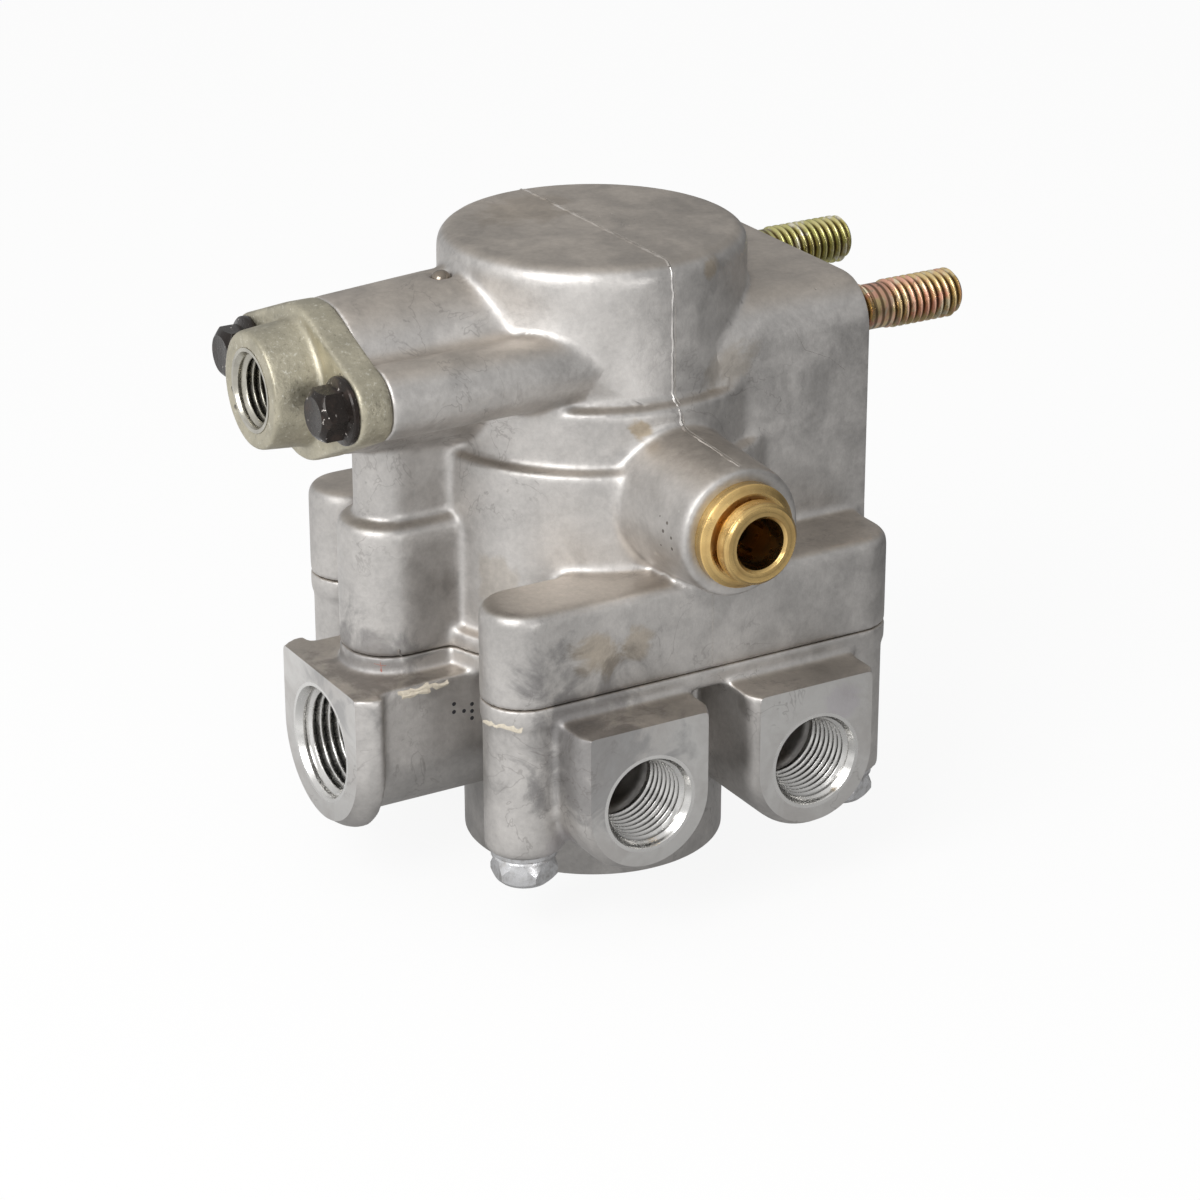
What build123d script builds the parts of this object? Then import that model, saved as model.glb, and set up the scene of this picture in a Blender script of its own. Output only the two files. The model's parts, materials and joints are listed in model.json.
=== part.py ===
"""Spring brake modulating valve of a heavy vehicle's air brakes.

A round upper casting with a control tube, a balance fitting and a stud bracket is bolted
onto a lower casting with one supply port, four delivery ports and the exhaust.  Inside are
the modulating piston, the relay piston and the inlet and exhaust valve, one above the other.

Frame: the main axis is Z, with zero at the face of the exhaust boss.  The control tube and
the supply port point along -X, the mounting studs along +X, the balance fitting along -Y.
"""
import os

from build123d import *

os.makedirs("parts", exist_ok=True)

# Heights on the main axis
joint_z = 48.4
plate_t = 3.6
flange_top = 66.9
ledge_low = 86.0
ledge_high = 97.0
head_top = 123.3

# Upper casting: stepped round body
head_r = 29.2
head_round = 3.2
mid_r = 32.2
main_r = 34.9
lip_r = 37.3
lip_t = 3.6
ledge_round = 1.1
flange_round = 2.2

# Four body bolts stand in the corners of both castings
corner_pitch = 70.0
corner_r = 8.0
column_r = 7.5
column_foot = 17.9
web_w = 10.0

# Air passage between the castings, on the control side
passage_x = 44.5
passage_r = 2.5
passage_boss_r = 9.3
passage_boss_top = 74.3
passage_round = 2.2
riser_x = 43.9
riser_r = 6.6

# Control tube with its two bolting lobes
tube_z = 102.9
tube_end_x = 55.5
tube_r_outer = 14.6
tube_r_root = 16.0
tube_root_x = 32.0
lobe_pitch = 39.0
lobe_rise = 0.6
lobe_r = 6.8
valley_r = 3.0
shuttle_bore_r = 10.5
shuttle_seat_x = 38.0
control_passage_r = 4.0
plug_x = 32.0
plug_ball_r = 2.0

# Control adapter
adapter_face_x = 71.2
adapter_flange_t = 6.4
adapter_nose_r = 10.95
adapter_nose_edge = 0.4
adapter_root_r = 11.7
adapter_spigot = 5.5
adapter_seal_d = 1.7
control_port_r = 6.85
control_port_depth = 12.0
control_bore_r = 4.5

# Mounting bracket and studs
bracket_x = 44.6
bracket_half = 27.5
bracket_top = 112.0
bracket_foot = 58.0
bracket_corner = 9.0
stud_pitch = 40.0
stud_z = 104.3
stud_r = 4.7625
stud_core_r = 4.3
stud_depth = 18.0
stud_mouth = 1.0
stud_root_x = 48.4
stud_shank_x = 52.3
stud_end_front = 68.7
stud_end_back = 70.1
stud_tip = 1.0

# Balance fitting and its boss
balance_z = 79.3
boss_face_y = 53.3
boss_edge = 0.6
boss_r = 12.4
boss_root_r = 13.5
boss_root_y = 33.0
fitting_r = 9.85
fitting_edge_y = 55.1
fitting_nose_r = 8.4
fitting_face_y = 56.2
fitting_shank_r = 8.6
fitting_depth = 15.5
balance_passage_r = 3.2
tube_bore_r = 4.9
tube_stop_y = 41.0
collet_face_y = 60.2
collet_r = 7.7
collet_edge = 0.6
collet_flange_t = 2.9
collet_sleeve_r = 6.3
collet_inner_y = 48.5
collet_travel = 1.0
collet_slit = 0.9
finger_length = 4.5
tube_stop_room = 0.4
fitting_seal_t = 0.6
seal_land = 2.2

# Bores of the upper casting
relay_bore_r = 29.0
relay_ceiling = 63.0
partition_bore_r = 24.0
partition_ledge = 3.0
partition_z = relay_ceiling + partition_ledge
partition_t = 6.0
partition_seal_d = 2.0
partition_seal_w = 2.4
ring_groove_w = 1.4
ring_groove_d = 1.2
ring_t = 1.2
mod_bore_r = 21.0
roof_t = 7.3
mod_ceiling = head_top - roof_t

ring_w = 3.4
ring_gap = 9.0

# Lower casting
exhaust_boss_r = 25.6
core_r = 33.2
core_foot = 22.0
port_face_y = 52.0
port_pitch = 36.2
port_z = 29.2
port_boss_r = 14.0
port_boss_round = 4.0
port_face_cut = 0.5
delivery_port_r = 8.6
delivery_depth = 14.5
delivery_bore_r = 7.0
delivery_end_y = 20.0
supply_face_x = 59.5
supply_z = 30.3
supply_boss_r = 17.4
supply_boss_t = 5.5
supply_round = 5.6
supply_face_cut = 0.8
supply_neck_r = 14.5
supply_port_r = 10.65
supply_depth = 17.5
check_bore_r = 7.2
check_end_x = 26.0
inlet_passage_r = 4.2
inlet_passage_z = 28.5

# Bores of the lower casting
cover_bore_r = 20.0
cover_seat_z = 8.0
guide_bore_r = 17.0
guide_seat_z = 19.0
supply_chamber_r = 15.5
web_z = 33.0
seat_z = 32.0
seat_r = 9.0
seat_rim_r = 10.6
delivery_floor = 38.0
delivery_chamber_r = 27.0
delivery_rise_x = 15.5
delivery_rise_y = 20.5
delivery_rise_r = 4.5

# Running and static clearances
running = 0.05
static = 0.10

# Fasteners
bolt_r = 3.1
bolt_hole_r = 3.3
body_bolt_af = 11.1
body_bolt_head_h = 5.4
adapter_bolt_af = 8.9
adapter_bolt_head_h = 4.7
bolt_washer_r = 6.3
bolt_washer_t = 1.5
body_bolt_end = 62.0
adapter_bolt_end = 41.0

# Moving pieces
relay_t = 8.2
relay_web_t = 4.2
relay_stem_r = 7.4
relay_gap = 1.5
relay_seal_d = 2.4
relay_seal_w = 3.0
relay_seal_drop = 4.3
relay_skirt_t = 4.5
relay_nose_edge = 1.2
valve_disc_r = 12.2
valve_disc_t = 2.0
facing_t = 1.5
valve_tube_r = 6.4
valve_bore_r = 4.4
valve_foot = 13.0
guide_seal_d = 2.0
wiper_d = 1.4
mod_bottom = 83.0
mod_skirt_h = 13.0
mod_web_t = 4.0
mod_boss_h = 3.0
mod_boss_r = 9.0
mod_stem_r = 5.0
mod_skirt_t = 4.0
mod_seal_d = 2.2
mod_seal_w = 2.8
mod_seal_rise = 7.4
mod_stem_room = 0.5
mod_spring_r = 13.0
mod_spring_wire = 1.3
mod_spring_turns = 5
relay_spring_r = 12.0
relay_spring_wire = 0.8
relay_spring_turns = 5
valve_spring_r = 10.4
valve_spring_wire = 0.6
valve_spring_turns = 3
check_spring_r = 3.6
check_spring_wire = 0.4
check_spring_turns = 4
shuttle_r = 8.4
shuttle_t = 5.0
check_disc_r = 5.8
check_disc_t = 2.0
check_stem_r = 2.0


def upright(side, distance):
    """Plane of a port face that looks along +Y or -Y, with its own up along Z."""
    return Plane(origin=(0, side * distance, 0), x_dir=(-side, 0, 0), z_dir=(0, side, 0))


def facing_left(distance):
    """Plane at X = -distance that looks along -X, with its own up along Z."""
    return Plane(origin=(-distance, 0, 0), x_dir=(0, -1, 0), z_dir=(-1, 0, 0))


def u_boss(half_width, height):
    """Outline of a port boss: round below the port, square up to the parting plane."""
    Circle(half_width)
    with Locations((0, height / 2)):
        Rectangle(2 * half_width, height)


def corner_plan(lip):
    """Plan of both castings at their joint: corner bosses, side bars, body and passage boss."""
    with Locations((0, corner_pitch / 2), (0, -corner_pitch / 2)):
        SlotCenterToCenter(corner_pitch, 2 * corner_r)
    with Locations((corner_pitch / 2, 0)):
        SlotCenterToCenter(corner_pitch, 2 * corner_r, rotation=90)
    with Locations((-passage_x / 2, 0)):
        SlotCenterToCenter(passage_x, 2 * passage_boss_r)
    Circle(lip)


def flange_bolt(head_plane, shank, flats, head_h):
    """Hexagon flange bolt: the plane lies on its seat and looks towards the head."""
    with BuildSketch(head_plane) as washer:
        Circle(bolt_washer_r)
    extrude(washer.sketch, amount=bolt_washer_t, taper=18)
    with BuildSketch(head_plane.offset(bolt_washer_t)) as hexagon:
        RegularPolygon(flats / 2, 6, major_radius=False)
    extrude(hexagon.sketch, amount=head_h)
    with BuildSketch(head_plane) as shank_section:
        Circle(bolt_r)
    extrude(shank_section.sketch, amount=-shank)


def seal_ring(plane, groove_r, section_r):
    """Round-section ring lying in the plane, with its inside on the groove's floor."""
    turned = Plane(origin=plane.origin, x_dir=plane.x_dir, z_dir=plane.y_dir)
    with BuildSketch(turned) as section:
        with Locations((groove_r + section_r, 0)):
            RegularPolygon(section_r, 8)
    revolve(section.sketch, axis=Axis(plane.origin, plane.z_dir))


def snap_ring(z_low, inner_r, outer_r, thickness, gap):
    """Open retaining ring round the main axis."""
    with BuildSketch(Plane.XY.offset(z_low)) as ring:
        Circle(outer_r)
        Circle(inner_r, mode=Mode.SUBTRACT)
        with Locations((outer_r / 2 + inner_r / 2, 0)):
            Rectangle(outer_r, gap, mode=Mode.SUBTRACT)
    extrude(ring.sketch, amount=thickness)


def coil(start, direction, length, radius, wire_r, turns):
    """Round-wire compression spring from its start along the given direction."""
    rise = length - 2 * wire_r
    first = start + direction * wire_r
    with BuildLine() as path:
        Helix(pitch=rise / turns, height=rise, radius=radius, center=first, direction=direction)
    wire = path.wires()[0]
    with BuildSketch(Plane(origin=wire @ 0, z_dir=wire % 0)) as section:
        RegularPolygon(wire_r, 8)
    sweep(section.sketch, path=wire, is_frenet=True)


def finish(piece, name):
    """Label a finished piece and write it out."""
    piece.part.label = name
    export_step(piece.part, f"parts/{name}.step")


tube_axis = Axis((0, 0, tube_z), (-1, 0, 0))
balance_axis = Axis((0, 0, balance_z), (0, -1, 0))
corners = [(x * corner_pitch / 2, y * corner_pitch / 2) for x in (-1, 1) for y in (-1, 1)]

# The lobes' axes in the plane of the tube's end
lobe_places = [(side * lobe_pitch / 2, tube_z + lobe_rise) for side in (-1, 1)]
stud_places = [(side * stud_pitch / 2, stud_z) for side in (-1, 1)]

# UPPER CASTING

with BuildPart() as upper_body:
    # Bolting flange: bars that join the four corner bosses, rounded on top
    with BuildSketch(Plane.XY.offset(joint_z)):
        with Locations((0, corner_pitch / 2), (0, -corner_pitch / 2)):
            SlotCenterToCenter(corner_pitch, 2 * corner_r)
        with Locations((corner_pitch / 2, 0)):
            SlotCenterToCenter(corner_pitch, 2 * corner_r, rotation=90)
    extrude(amount=flange_top - joint_z)
    fillet(upper_body.faces().sort_by(Axis.Z)[-1].edges(), flange_round)

    # Boss of the air passage, with the narrower riser up to the control tube
    with BuildSketch(Plane.XY.offset(joint_z)):
        with Locations((-passage_x / 2, 0)):
            SlotCenterToCenter(passage_x, 2 * passage_boss_r)
    extrude(amount=passage_boss_top - joint_z)
    fillet(upper_body.faces().sort_by(Axis.Z)[-1].edges(), passage_round)
    with BuildSketch(Plane.XY.offset(joint_z)):
        with Locations((-riser_x / 2, 0)):
            SlotCenterToCenter(riser_x, 2 * riser_r)
    extrude(amount=tube_z - joint_z)

    # Stepped round body, turned from its half section
    with BuildSketch(Plane.XZ) as half_section:
        with BuildLine():
            Polyline(
                (0, joint_z),
                (lip_r, joint_z),
                (lip_r, joint_z + lip_t),
                (main_r, joint_z + lip_t),
                (main_r, ledge_low),
                (mid_r, ledge_low),
                (mid_r, ledge_high),
                (head_r, ledge_high),
                (head_r, head_top),
                (0, head_top),
                close=True,
            )
        make_face()
        rim = half_section.vertices().group_by(Axis.Y)[-1].sort_by(Axis.X)[-1]
        steps = half_section.vertices().group_by(Axis.Y)[2:4]
        fillet(rim, head_round)
        fillet([v for level in steps for v in level], ledge_round)
    revolve(axis=Axis.Z)

    # Control tube: the round tube widens towards the head between its bolting lobes
    for distance, radius in ((tube_end_x, tube_r_outer), (tube_root_x, tube_r_root)):
        with BuildSketch(Plane.YZ.offset(-distance)) as tube_end:
            with Locations((0, tube_z)):
                Circle(radius)
            with Locations(*lobe_places):
                Circle(lobe_r)
            fillet(tube_end.vertices(), valley_r)
    loft()
    with BuildSketch(Plane.YZ.offset(-tube_root_x)) as tube_root:
        with Locations((0, tube_z)):
            Circle(tube_r_root)
        with Locations(*lobe_places):
            Circle(lobe_r)
        fillet(tube_root.vertices(), valley_r)
    extrude(amount=tube_root_x - head_r / 3)

    # Boss of the balance fitting, a cone that grows into the body
    with BuildSketch(Plane.YZ):
        with BuildLine():
            Polyline(
                (-boss_face_y, balance_z),
                (-boss_face_y, balance_z + boss_r - boss_edge),
                (-boss_face_y + boss_edge, balance_z + boss_r),
                (-boss_root_y, balance_z + boss_root_r),
                (-mod_bore_r, balance_z + boss_root_r),
                (-mod_bore_r, balance_z),
                close=True,
            )
        make_face()
    revolve(axis=balance_axis)

    # Stud bracket with rounded shoulders
    with BuildSketch(Plane.YZ) as bracket:
        with Locations((0, (bracket_top + bracket_foot) / 2)):
            Rectangle(2 * bracket_half, bracket_top - bracket_foot)
        fillet(bracket.vertices().group_by(Axis.Y)[-1], bracket_corner)
    extrude(amount=bracket_x)

    # Bore for the relay piston, the partition and the modulating piston
    with BuildSketch(Plane.XZ):
        with BuildLine():
            Polyline(
                (0, joint_z),
                (relay_bore_r, joint_z),
                (relay_bore_r, relay_ceiling),
                (partition_bore_r, relay_ceiling),
                (partition_bore_r, partition_z - ring_groove_w),
                (partition_bore_r + ring_groove_d, partition_z - ring_groove_w),
                (partition_bore_r + ring_groove_d, partition_z),
                (partition_bore_r, partition_z),
                (partition_bore_r, partition_z + partition_t),
                (mod_bore_r, partition_z + partition_t),
                (mod_bore_r, mod_ceiling),
                (0, mod_ceiling),
                close=True,
            )
        make_face()
    revolve(axis=Axis.Z, mode=Mode.SUBTRACT)

    # Shuttle bore and the passage on to the modulating bore
    with BuildSketch(Plane.YZ.offset(-tube_end_x)):
        with Locations((0, tube_z)):
            Circle(shuttle_bore_r)
    extrude(amount=tube_end_x - shuttle_seat_x, mode=Mode.SUBTRACT)
    with BuildSketch(Plane.YZ.offset(-shuttle_seat_x)):
        with Locations((0, tube_z)):
            Circle(control_passage_r)
    extrude(amount=shuttle_seat_x - mod_bore_r + 2, mode=Mode.SUBTRACT)

    # Drilled passage from the joint face to the shuttle bore
    with BuildSketch(Plane.XY.offset(joint_z)):
        with Locations((-passage_x, 0)):
            Circle(passage_r)
    extrude(amount=tube_z - joint_z, mode=Mode.SUBTRACT)

    # Cross drilling on top of the tube, closed by a ball
    plug_floor = tube_z + tube_r_root - 3.6
    with BuildSketch(Plane.XY.offset(tube_z)):
        with Locations((-plug_x, 0)):
            Circle(plug_ball_r * 0.7)
    extrude(amount=tube_r_root + 2, mode=Mode.SUBTRACT)
    with BuildSketch(Plane.XY.offset(plug_floor)):
        with Locations((-plug_x, 0)):
            Circle(plug_ball_r + 0.02)
    extrude(amount=6, mode=Mode.SUBTRACT)

    # Threaded hole of the balance fitting and the passage behind it
    with BuildSketch(upright(-1, boss_face_y)):
        with Locations((0, balance_z)):
            Circle(fitting_shank_r + running)
    extrude(amount=-fitting_depth, mode=Mode.SUBTRACT)
    with BuildSketch(upright(-1, boss_face_y)):
        with Locations((0, balance_z)):
            Circle(balance_passage_r)
    extrude(amount=-(boss_face_y - mod_bore_r + 2), mode=Mode.SUBTRACT)

    # Tapped holes: studs, adapter bolts and body bolts
    with BuildSketch(Plane.YZ.offset(bracket_x)):
        with Locations(*stud_places):
            Circle(stud_core_r + running)
    extrude(amount=-stud_depth, mode=Mode.SUBTRACT)
    with BuildSketch(Plane.YZ.offset(bracket_x)):
        with Locations(*stud_places):
            Circle(stud_r + running)
    extrude(amount=-stud_mouth, mode=Mode.SUBTRACT)
    with BuildSketch(Plane.YZ.offset(-tube_end_x)):
        with Locations(*lobe_places):
            Circle(bolt_r + running)
    extrude(amount=tube_end_x - adapter_bolt_end + 1, mode=Mode.SUBTRACT)
    with BuildSketch(Plane.XY.offset(joint_z)):
        with Locations(*corners):
            Circle(bolt_r + running)
    extrude(amount=body_bolt_end + 1 - joint_z, mode=Mode.SUBTRACT)
finish(upper_body, "upper_body")

# LOWER CASTING

with BuildPart() as lower_body:
    # Joint plate with the plan of the upper casting
    with BuildSketch(Plane.XY.offset(joint_z - plate_t)):
        corner_plan(lip_r)
    extrude(amount=plate_t)

    # Round core on the exhaust boss
    under_plate = joint_z - plate_t
    with BuildSketch(Plane.XZ) as core:
        with BuildLine():
            Polyline(
                (0, 0),
                (exhaust_boss_r, 0),
                (exhaust_boss_r, core_foot),
                (core_r, core_foot + 3),
                (core_r, under_plate),
                (0, under_plate),
                close=True,
            )
        make_face()
        fillet(core.vertices().filter_by(lambda v: 1 < v.Y < under_plate - 1), 1.5)
    revolve(axis=Axis.Z)

    # Bolt columns, webbed to the core
    with BuildSketch(Plane.XY.offset(column_foot)):
        with Locations(*corners):
            Circle(column_r)
    extrude(amount=under_plate - column_foot)
    with BuildSketch(Plane.XY.offset(core_foot + 2)):
        for x, y in corners:
            with Locations(Location((x / 2, y / 2, 0), (0, 0, 45 if x * y > 0 else -45))):
                Rectangle(corner_pitch / 2**0.5, web_w)
    extrude(amount=under_plate - core_foot - 2)

    # Delivery port bosses, two on each side: the cast round is cut by the machined face
    cast_face_y = port_face_y + port_face_cut
    for side in (-1, 1):
        for x in (-1, 1):
            face = upright(side, cast_face_y)
            with BuildSketch(face):
                with Locations((x * port_pitch / 2, port_z)):
                    u_boss(port_boss_r, under_plate - port_z)
            extrude(amount=-(cast_face_y - delivery_end_y))
        rims = lower_body.faces().filter_by(Axis.Y).sort_by(Axis.Y)
        outer = rims[0:2] if side < 0 else rims[-2:]
        edges = [e for f in outer for e in f.edges() if e.center().Z < under_plate - 0.1]
        fillet(edges, port_boss_round)
        with BuildSketch(upright(side, port_face_y)):
            with Locations((0, port_z)):
                Rectangle(2 * corner_pitch, 2 * port_z)
        extrude(amount=2 * port_face_cut, mode=Mode.SUBTRACT)

    # Supply port boss: a flanged face on a narrower neck
    with BuildSketch(facing_left(supply_face_x + supply_face_cut)):
        with Locations((0, supply_z)):
            u_boss(supply_boss_r, under_plate - supply_z)
    extrude(amount=-(supply_boss_t + supply_face_cut))
    supply_face = lower_body.faces().sort_by(Axis.X)[0]
    edges = [e for e in supply_face.edges() if e.center().Z < under_plate - 0.1]
    fillet(edges, supply_round)
    with BuildSketch(facing_left(supply_face_x)):
        with Locations((0, supply_z)):
            Rectangle(2 * corner_pitch, 2 * supply_z)
    extrude(amount=2 * supply_face_cut, mode=Mode.SUBTRACT)
    with BuildSketch(facing_left(supply_face_x - supply_boss_t)):
        with Locations((0, supply_z)):
            u_boss(supply_neck_r, under_plate - supply_z)
    extrude(amount=-(supply_face_x - supply_boss_t - core_r / 2))

    # Bore for the cover, the valve guide, the supply chamber, the inlet seat and delivery
    with BuildSketch(Plane.XZ):
        with BuildLine():
            Polyline(
                (0, 0),
                (cover_bore_r, 0),
                (cover_bore_r, 3.6),
                (cover_bore_r + 1, 3.6),
                (cover_bore_r + 1, 5.0),
                (cover_bore_r, 5.0),
                (cover_bore_r, cover_seat_z),
                (guide_bore_r, cover_seat_z),
                (guide_bore_r, cover_seat_z + 1),
                (guide_bore_r + 1, cover_seat_z + 1),
                (guide_bore_r + 1, cover_seat_z + 2.4),
                (guide_bore_r, cover_seat_z + 2.4),
                (guide_bore_r, guide_seat_z),
                (supply_chamber_r, guide_seat_z),
                (supply_chamber_r, web_z),
                (seat_rim_r, web_z),
                (seat_rim_r, seat_z),
                (seat_r, seat_z),
                (seat_r, delivery_floor),
                (delivery_chamber_r, delivery_floor),
                (delivery_chamber_r, joint_z),
                (0, joint_z),
                close=True,
            )
        make_face()
    revolve(axis=Axis.Z, mode=Mode.SUBTRACT)

    # Delivery ports: threaded mouth, bore and the rise into the delivery chamber
    for side in (-1, 1):
        for radius, depth in (
            (delivery_port_r, delivery_depth),
            (delivery_bore_r, port_face_y - delivery_end_y),
        ):
            with BuildSketch(upright(side, port_face_y)):
                with Locations((-port_pitch / 2, port_z), (port_pitch / 2, port_z)):
                    Circle(radius)
            extrude(amount=-depth, mode=Mode.SUBTRACT)
    with BuildSketch(Plane.XY.offset(port_z)):
        with GridLocations(2 * delivery_rise_x, 2 * delivery_rise_y, 2, 2):
            Circle(delivery_rise_r)
    extrude(amount=delivery_floor - port_z + 0.5, mode=Mode.SUBTRACT)

    # Supply port: threaded mouth, check valve bore and the passage to the supply chamber
    with BuildSketch(facing_left(supply_face_x)):
        with Locations((0, supply_z)):
            Circle(supply_port_r)
    extrude(amount=-supply_depth, mode=Mode.SUBTRACT)
    with BuildSketch(facing_left(supply_face_x)):
        with Locations((0, supply_z)):
            Circle(check_bore_r)
    extrude(amount=-(supply_face_x - check_end_x), mode=Mode.SUBTRACT)
    with BuildSketch(facing_left(supply_face_x)):
        with Locations((0, inlet_passage_z)):
            Circle(inlet_passage_r)
    extrude(amount=-(supply_face_x - supply_chamber_r + 1.5), mode=Mode.SUBTRACT)

    # Passage to the upper casting with the groove of its seal, and the groove of the body seal
    with BuildSketch(Plane.XY.offset(joint_z)):
        with Locations((-passage_x, 0)):
            Circle(passage_r)
    extrude(amount=-(joint_z - supply_z), mode=Mode.SUBTRACT)
    with BuildSketch(Plane.XY.offset(joint_z)):
        with Locations((-passage_x, 0)):
            Circle(passage_r + 2.6)
            Circle(passage_r + 0.8, mode=Mode.SUBTRACT)
        Circle(relay_bore_r + 4.6)
        Circle(relay_bore_r + 2.2, mode=Mode.SUBTRACT)
    extrude(amount=-1.5, mode=Mode.SUBTRACT)

    # Clearance holes of the body bolts
    with BuildSketch(Plane.XY.offset(column_foot)):
        with Locations(*corners):
            Circle(bolt_hole_r)
    extrude(amount=joint_z - column_foot, mode=Mode.SUBTRACT)
finish(lower_body, "lower_body")

# JOINT SEALS AND BODY BOLTS

with BuildPart() as body_seal:
    with BuildSketch(Plane.XY.offset(joint_z - 1.5)):
        Circle(relay_bore_r + 4.5)
        Circle(relay_bore_r + 2.3, mode=Mode.SUBTRACT)
    extrude(amount=1.5)
finish(body_seal, "body_seal")

with BuildPart() as passage_seal:
    with BuildSketch(Plane.XY.offset(joint_z - 1.5)):
        with Locations((-passage_x, 0)):
            Circle(passage_r + 2.5)
            Circle(passage_r + 0.9, mode=Mode.SUBTRACT)
    extrude(amount=1.5)
finish(passage_seal, "passage_seal")

with BuildPart() as body_bolts:
    for x, y in corners:
        seat = Plane(origin=(x, y, column_foot), x_dir=(1, 0, 0), z_dir=(0, 0, -1))
        flange_bolt(seat, body_bolt_end - column_foot, body_bolt_af, body_bolt_head_h)
finish(body_bolts, "body_bolts")

# CONTROL ADAPTER

with BuildPart() as control_adapter:
    # Diamond flange: straight flanks from the round middle to the bolt lobes
    with BuildSketch(Plane.YZ.offset(-tube_end_x)):
        for side in (-1, 1):
            with BuildSketch(mode=Mode.PRIVATE) as half:
                with Locations((0, tube_z)):
                    Circle(tube_r_outer)
                with Locations((side * lobe_pitch / 2, tube_z + lobe_rise)):
                    Circle(lobe_r)
            make_hull(half.sketch.edges())
    extrude(amount=-adapter_flange_t)
    fillet(control_adapter.faces().sort_by(Axis.X)[0].edges(), 0.8)

    # Nose with the control port
    with BuildSketch(Plane.XZ):
        nose_x = tube_end_x + adapter_flange_t
        with BuildLine():
            Polyline(
                (-nose_x + 1, tube_z),
                (-nose_x + 1, tube_z + adapter_root_r + 0.5),
                (-nose_x, tube_z + adapter_root_r + 0.5),
                (-nose_x - 0.8, tube_z + adapter_root_r),
                (-adapter_face_x + adapter_nose_edge, tube_z + adapter_nose_r),
                (-adapter_face_x, tube_z + adapter_nose_r - adapter_nose_edge),
                (-adapter_face_x, tube_z),
                close=True,
            )
        make_face()
    revolve(axis=tube_axis)

    # Spigot with the groove of its seal
    with BuildSketch(Plane.XZ):
        spigot_r = shuttle_bore_r - running
        with BuildLine():
            Polyline(
                (-tube_end_x, tube_z),
                (-tube_end_x, tube_z + spigot_r),
                (-tube_end_x + 1.5, tube_z + spigot_r),
                (-tube_end_x + 1.5, tube_z + spigot_r - adapter_seal_d),
                (-tube_end_x + 3.7, tube_z + spigot_r - adapter_seal_d),
                (-tube_end_x + 3.7, tube_z + spigot_r),
                (-tube_end_x + adapter_spigot, tube_z + spigot_r),
                (-tube_end_x + adapter_spigot, tube_z),
                close=True,
            )
        make_face()
    revolve(axis=tube_axis)

    # Port, through bore and bolt holes
    for radius, depth in (
        (control_port_r, control_port_depth),
        (control_bore_r, adapter_face_x - tube_end_x + adapter_spigot),
    ):
        with BuildSketch(facing_left(adapter_face_x)):
            with Locations((0, tube_z)):
                Circle(radius)
        extrude(amount=-depth, mode=Mode.SUBTRACT)
    with BuildSketch(Plane.YZ.offset(-tube_end_x)):
        with Locations(*lobe_places):
            Circle(bolt_hole_r)
    extrude(amount=-adapter_flange_t, mode=Mode.SUBTRACT)
finish(control_adapter, "control_adapter")

with BuildPart() as adapter_seal:
    ring_plane = Plane(origin=(-tube_end_x + 2.6, 0, tube_z), x_dir=(0, 1, 0), z_dir=(1, 0, 0))
    seal_ring(ring_plane, shuttle_bore_r - running - adapter_seal_d, adapter_seal_d / 2)
finish(adapter_seal, "adapter_seal")

with BuildPart() as adapter_bolts:
    for y, z in lobe_places:
        seat = Plane(origin=(-tube_end_x - adapter_flange_t, y, z), x_dir=(0, 0, 1), z_dir=(-1, 0, 0))
        shank = tube_end_x + adapter_flange_t - adapter_bolt_end
        flange_bolt(seat, shank, adapter_bolt_af, adapter_bolt_head_h)
finish(adapter_bolts, "adapter_bolts")

with BuildPart() as passage_plug:
    with Locations((-plug_x, 0, plug_floor + plug_ball_r)):
        Sphere(plug_ball_r)
finish(passage_plug, "passage_plug")

# DOUBLE CHECK SHUTTLE IN THE CONTROL TUBE

cage_start = tube_end_x - adapter_spigot

with BuildPart() as shuttle_cage:
    with BuildSketch(Plane.YZ.offset(-cage_start)):
        with Locations((0, tube_z)):
            Circle(shuttle_bore_r - static)
            Circle(shuttle_r + running, mode=Mode.SUBTRACT)
    extrude(amount=cage_start - shuttle_seat_x)
    # Windows on to the drilled passage
    with BuildSketch(Plane.XY.offset(tube_z)):
        with Locations((-passage_x, 0)):
            SlotOverall(2 * passage_r + 3, 2 * passage_r + 0.6, rotation=90)
    extrude(amount=shuttle_bore_r + 1, both=True, mode=Mode.SUBTRACT)
finish(shuttle_cage, "shuttle_cage")

with BuildPart() as control_shuttle:
    with BuildSketch(Plane.YZ.offset(-cage_start)):
        with Locations((0, tube_z)):
            Circle(shuttle_r)
    extrude(amount=shuttle_t)
    chamfer(control_shuttle.edges().filter_by(GeomType.CIRCLE), 0.5)
finish(control_shuttle, "control_shuttle")

# MOUNTING STUDS

with BuildPart() as mounting_studs:
    # Each stud: end in the casting, tap end, plain shank and nut end
    for (y, z), end_x in zip(stud_places, (stud_end_front, stud_end_back)):
        for start, stop, radius in (
            (bracket_x - stud_depth, stud_shank_x, stud_core_r),
            (bracket_x, stud_root_x, stud_r),
            (stud_shank_x, end_x, stud_r),
        ):
            with BuildSketch(Plane.YZ.offset(start)):
                with Locations((y, z)):
                    Circle(radius)
            extrude(amount=stop - start)
    rims = mounting_studs.edges().filter_by(GeomType.CIRCLE)
    tips = rims.filter_by(lambda e: e.center().X > stud_end_front - 0.1)
    chamfer(tips, stud_tip)
finish(mounting_studs, "mounting_studs")

# BALANCE FITTING

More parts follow.
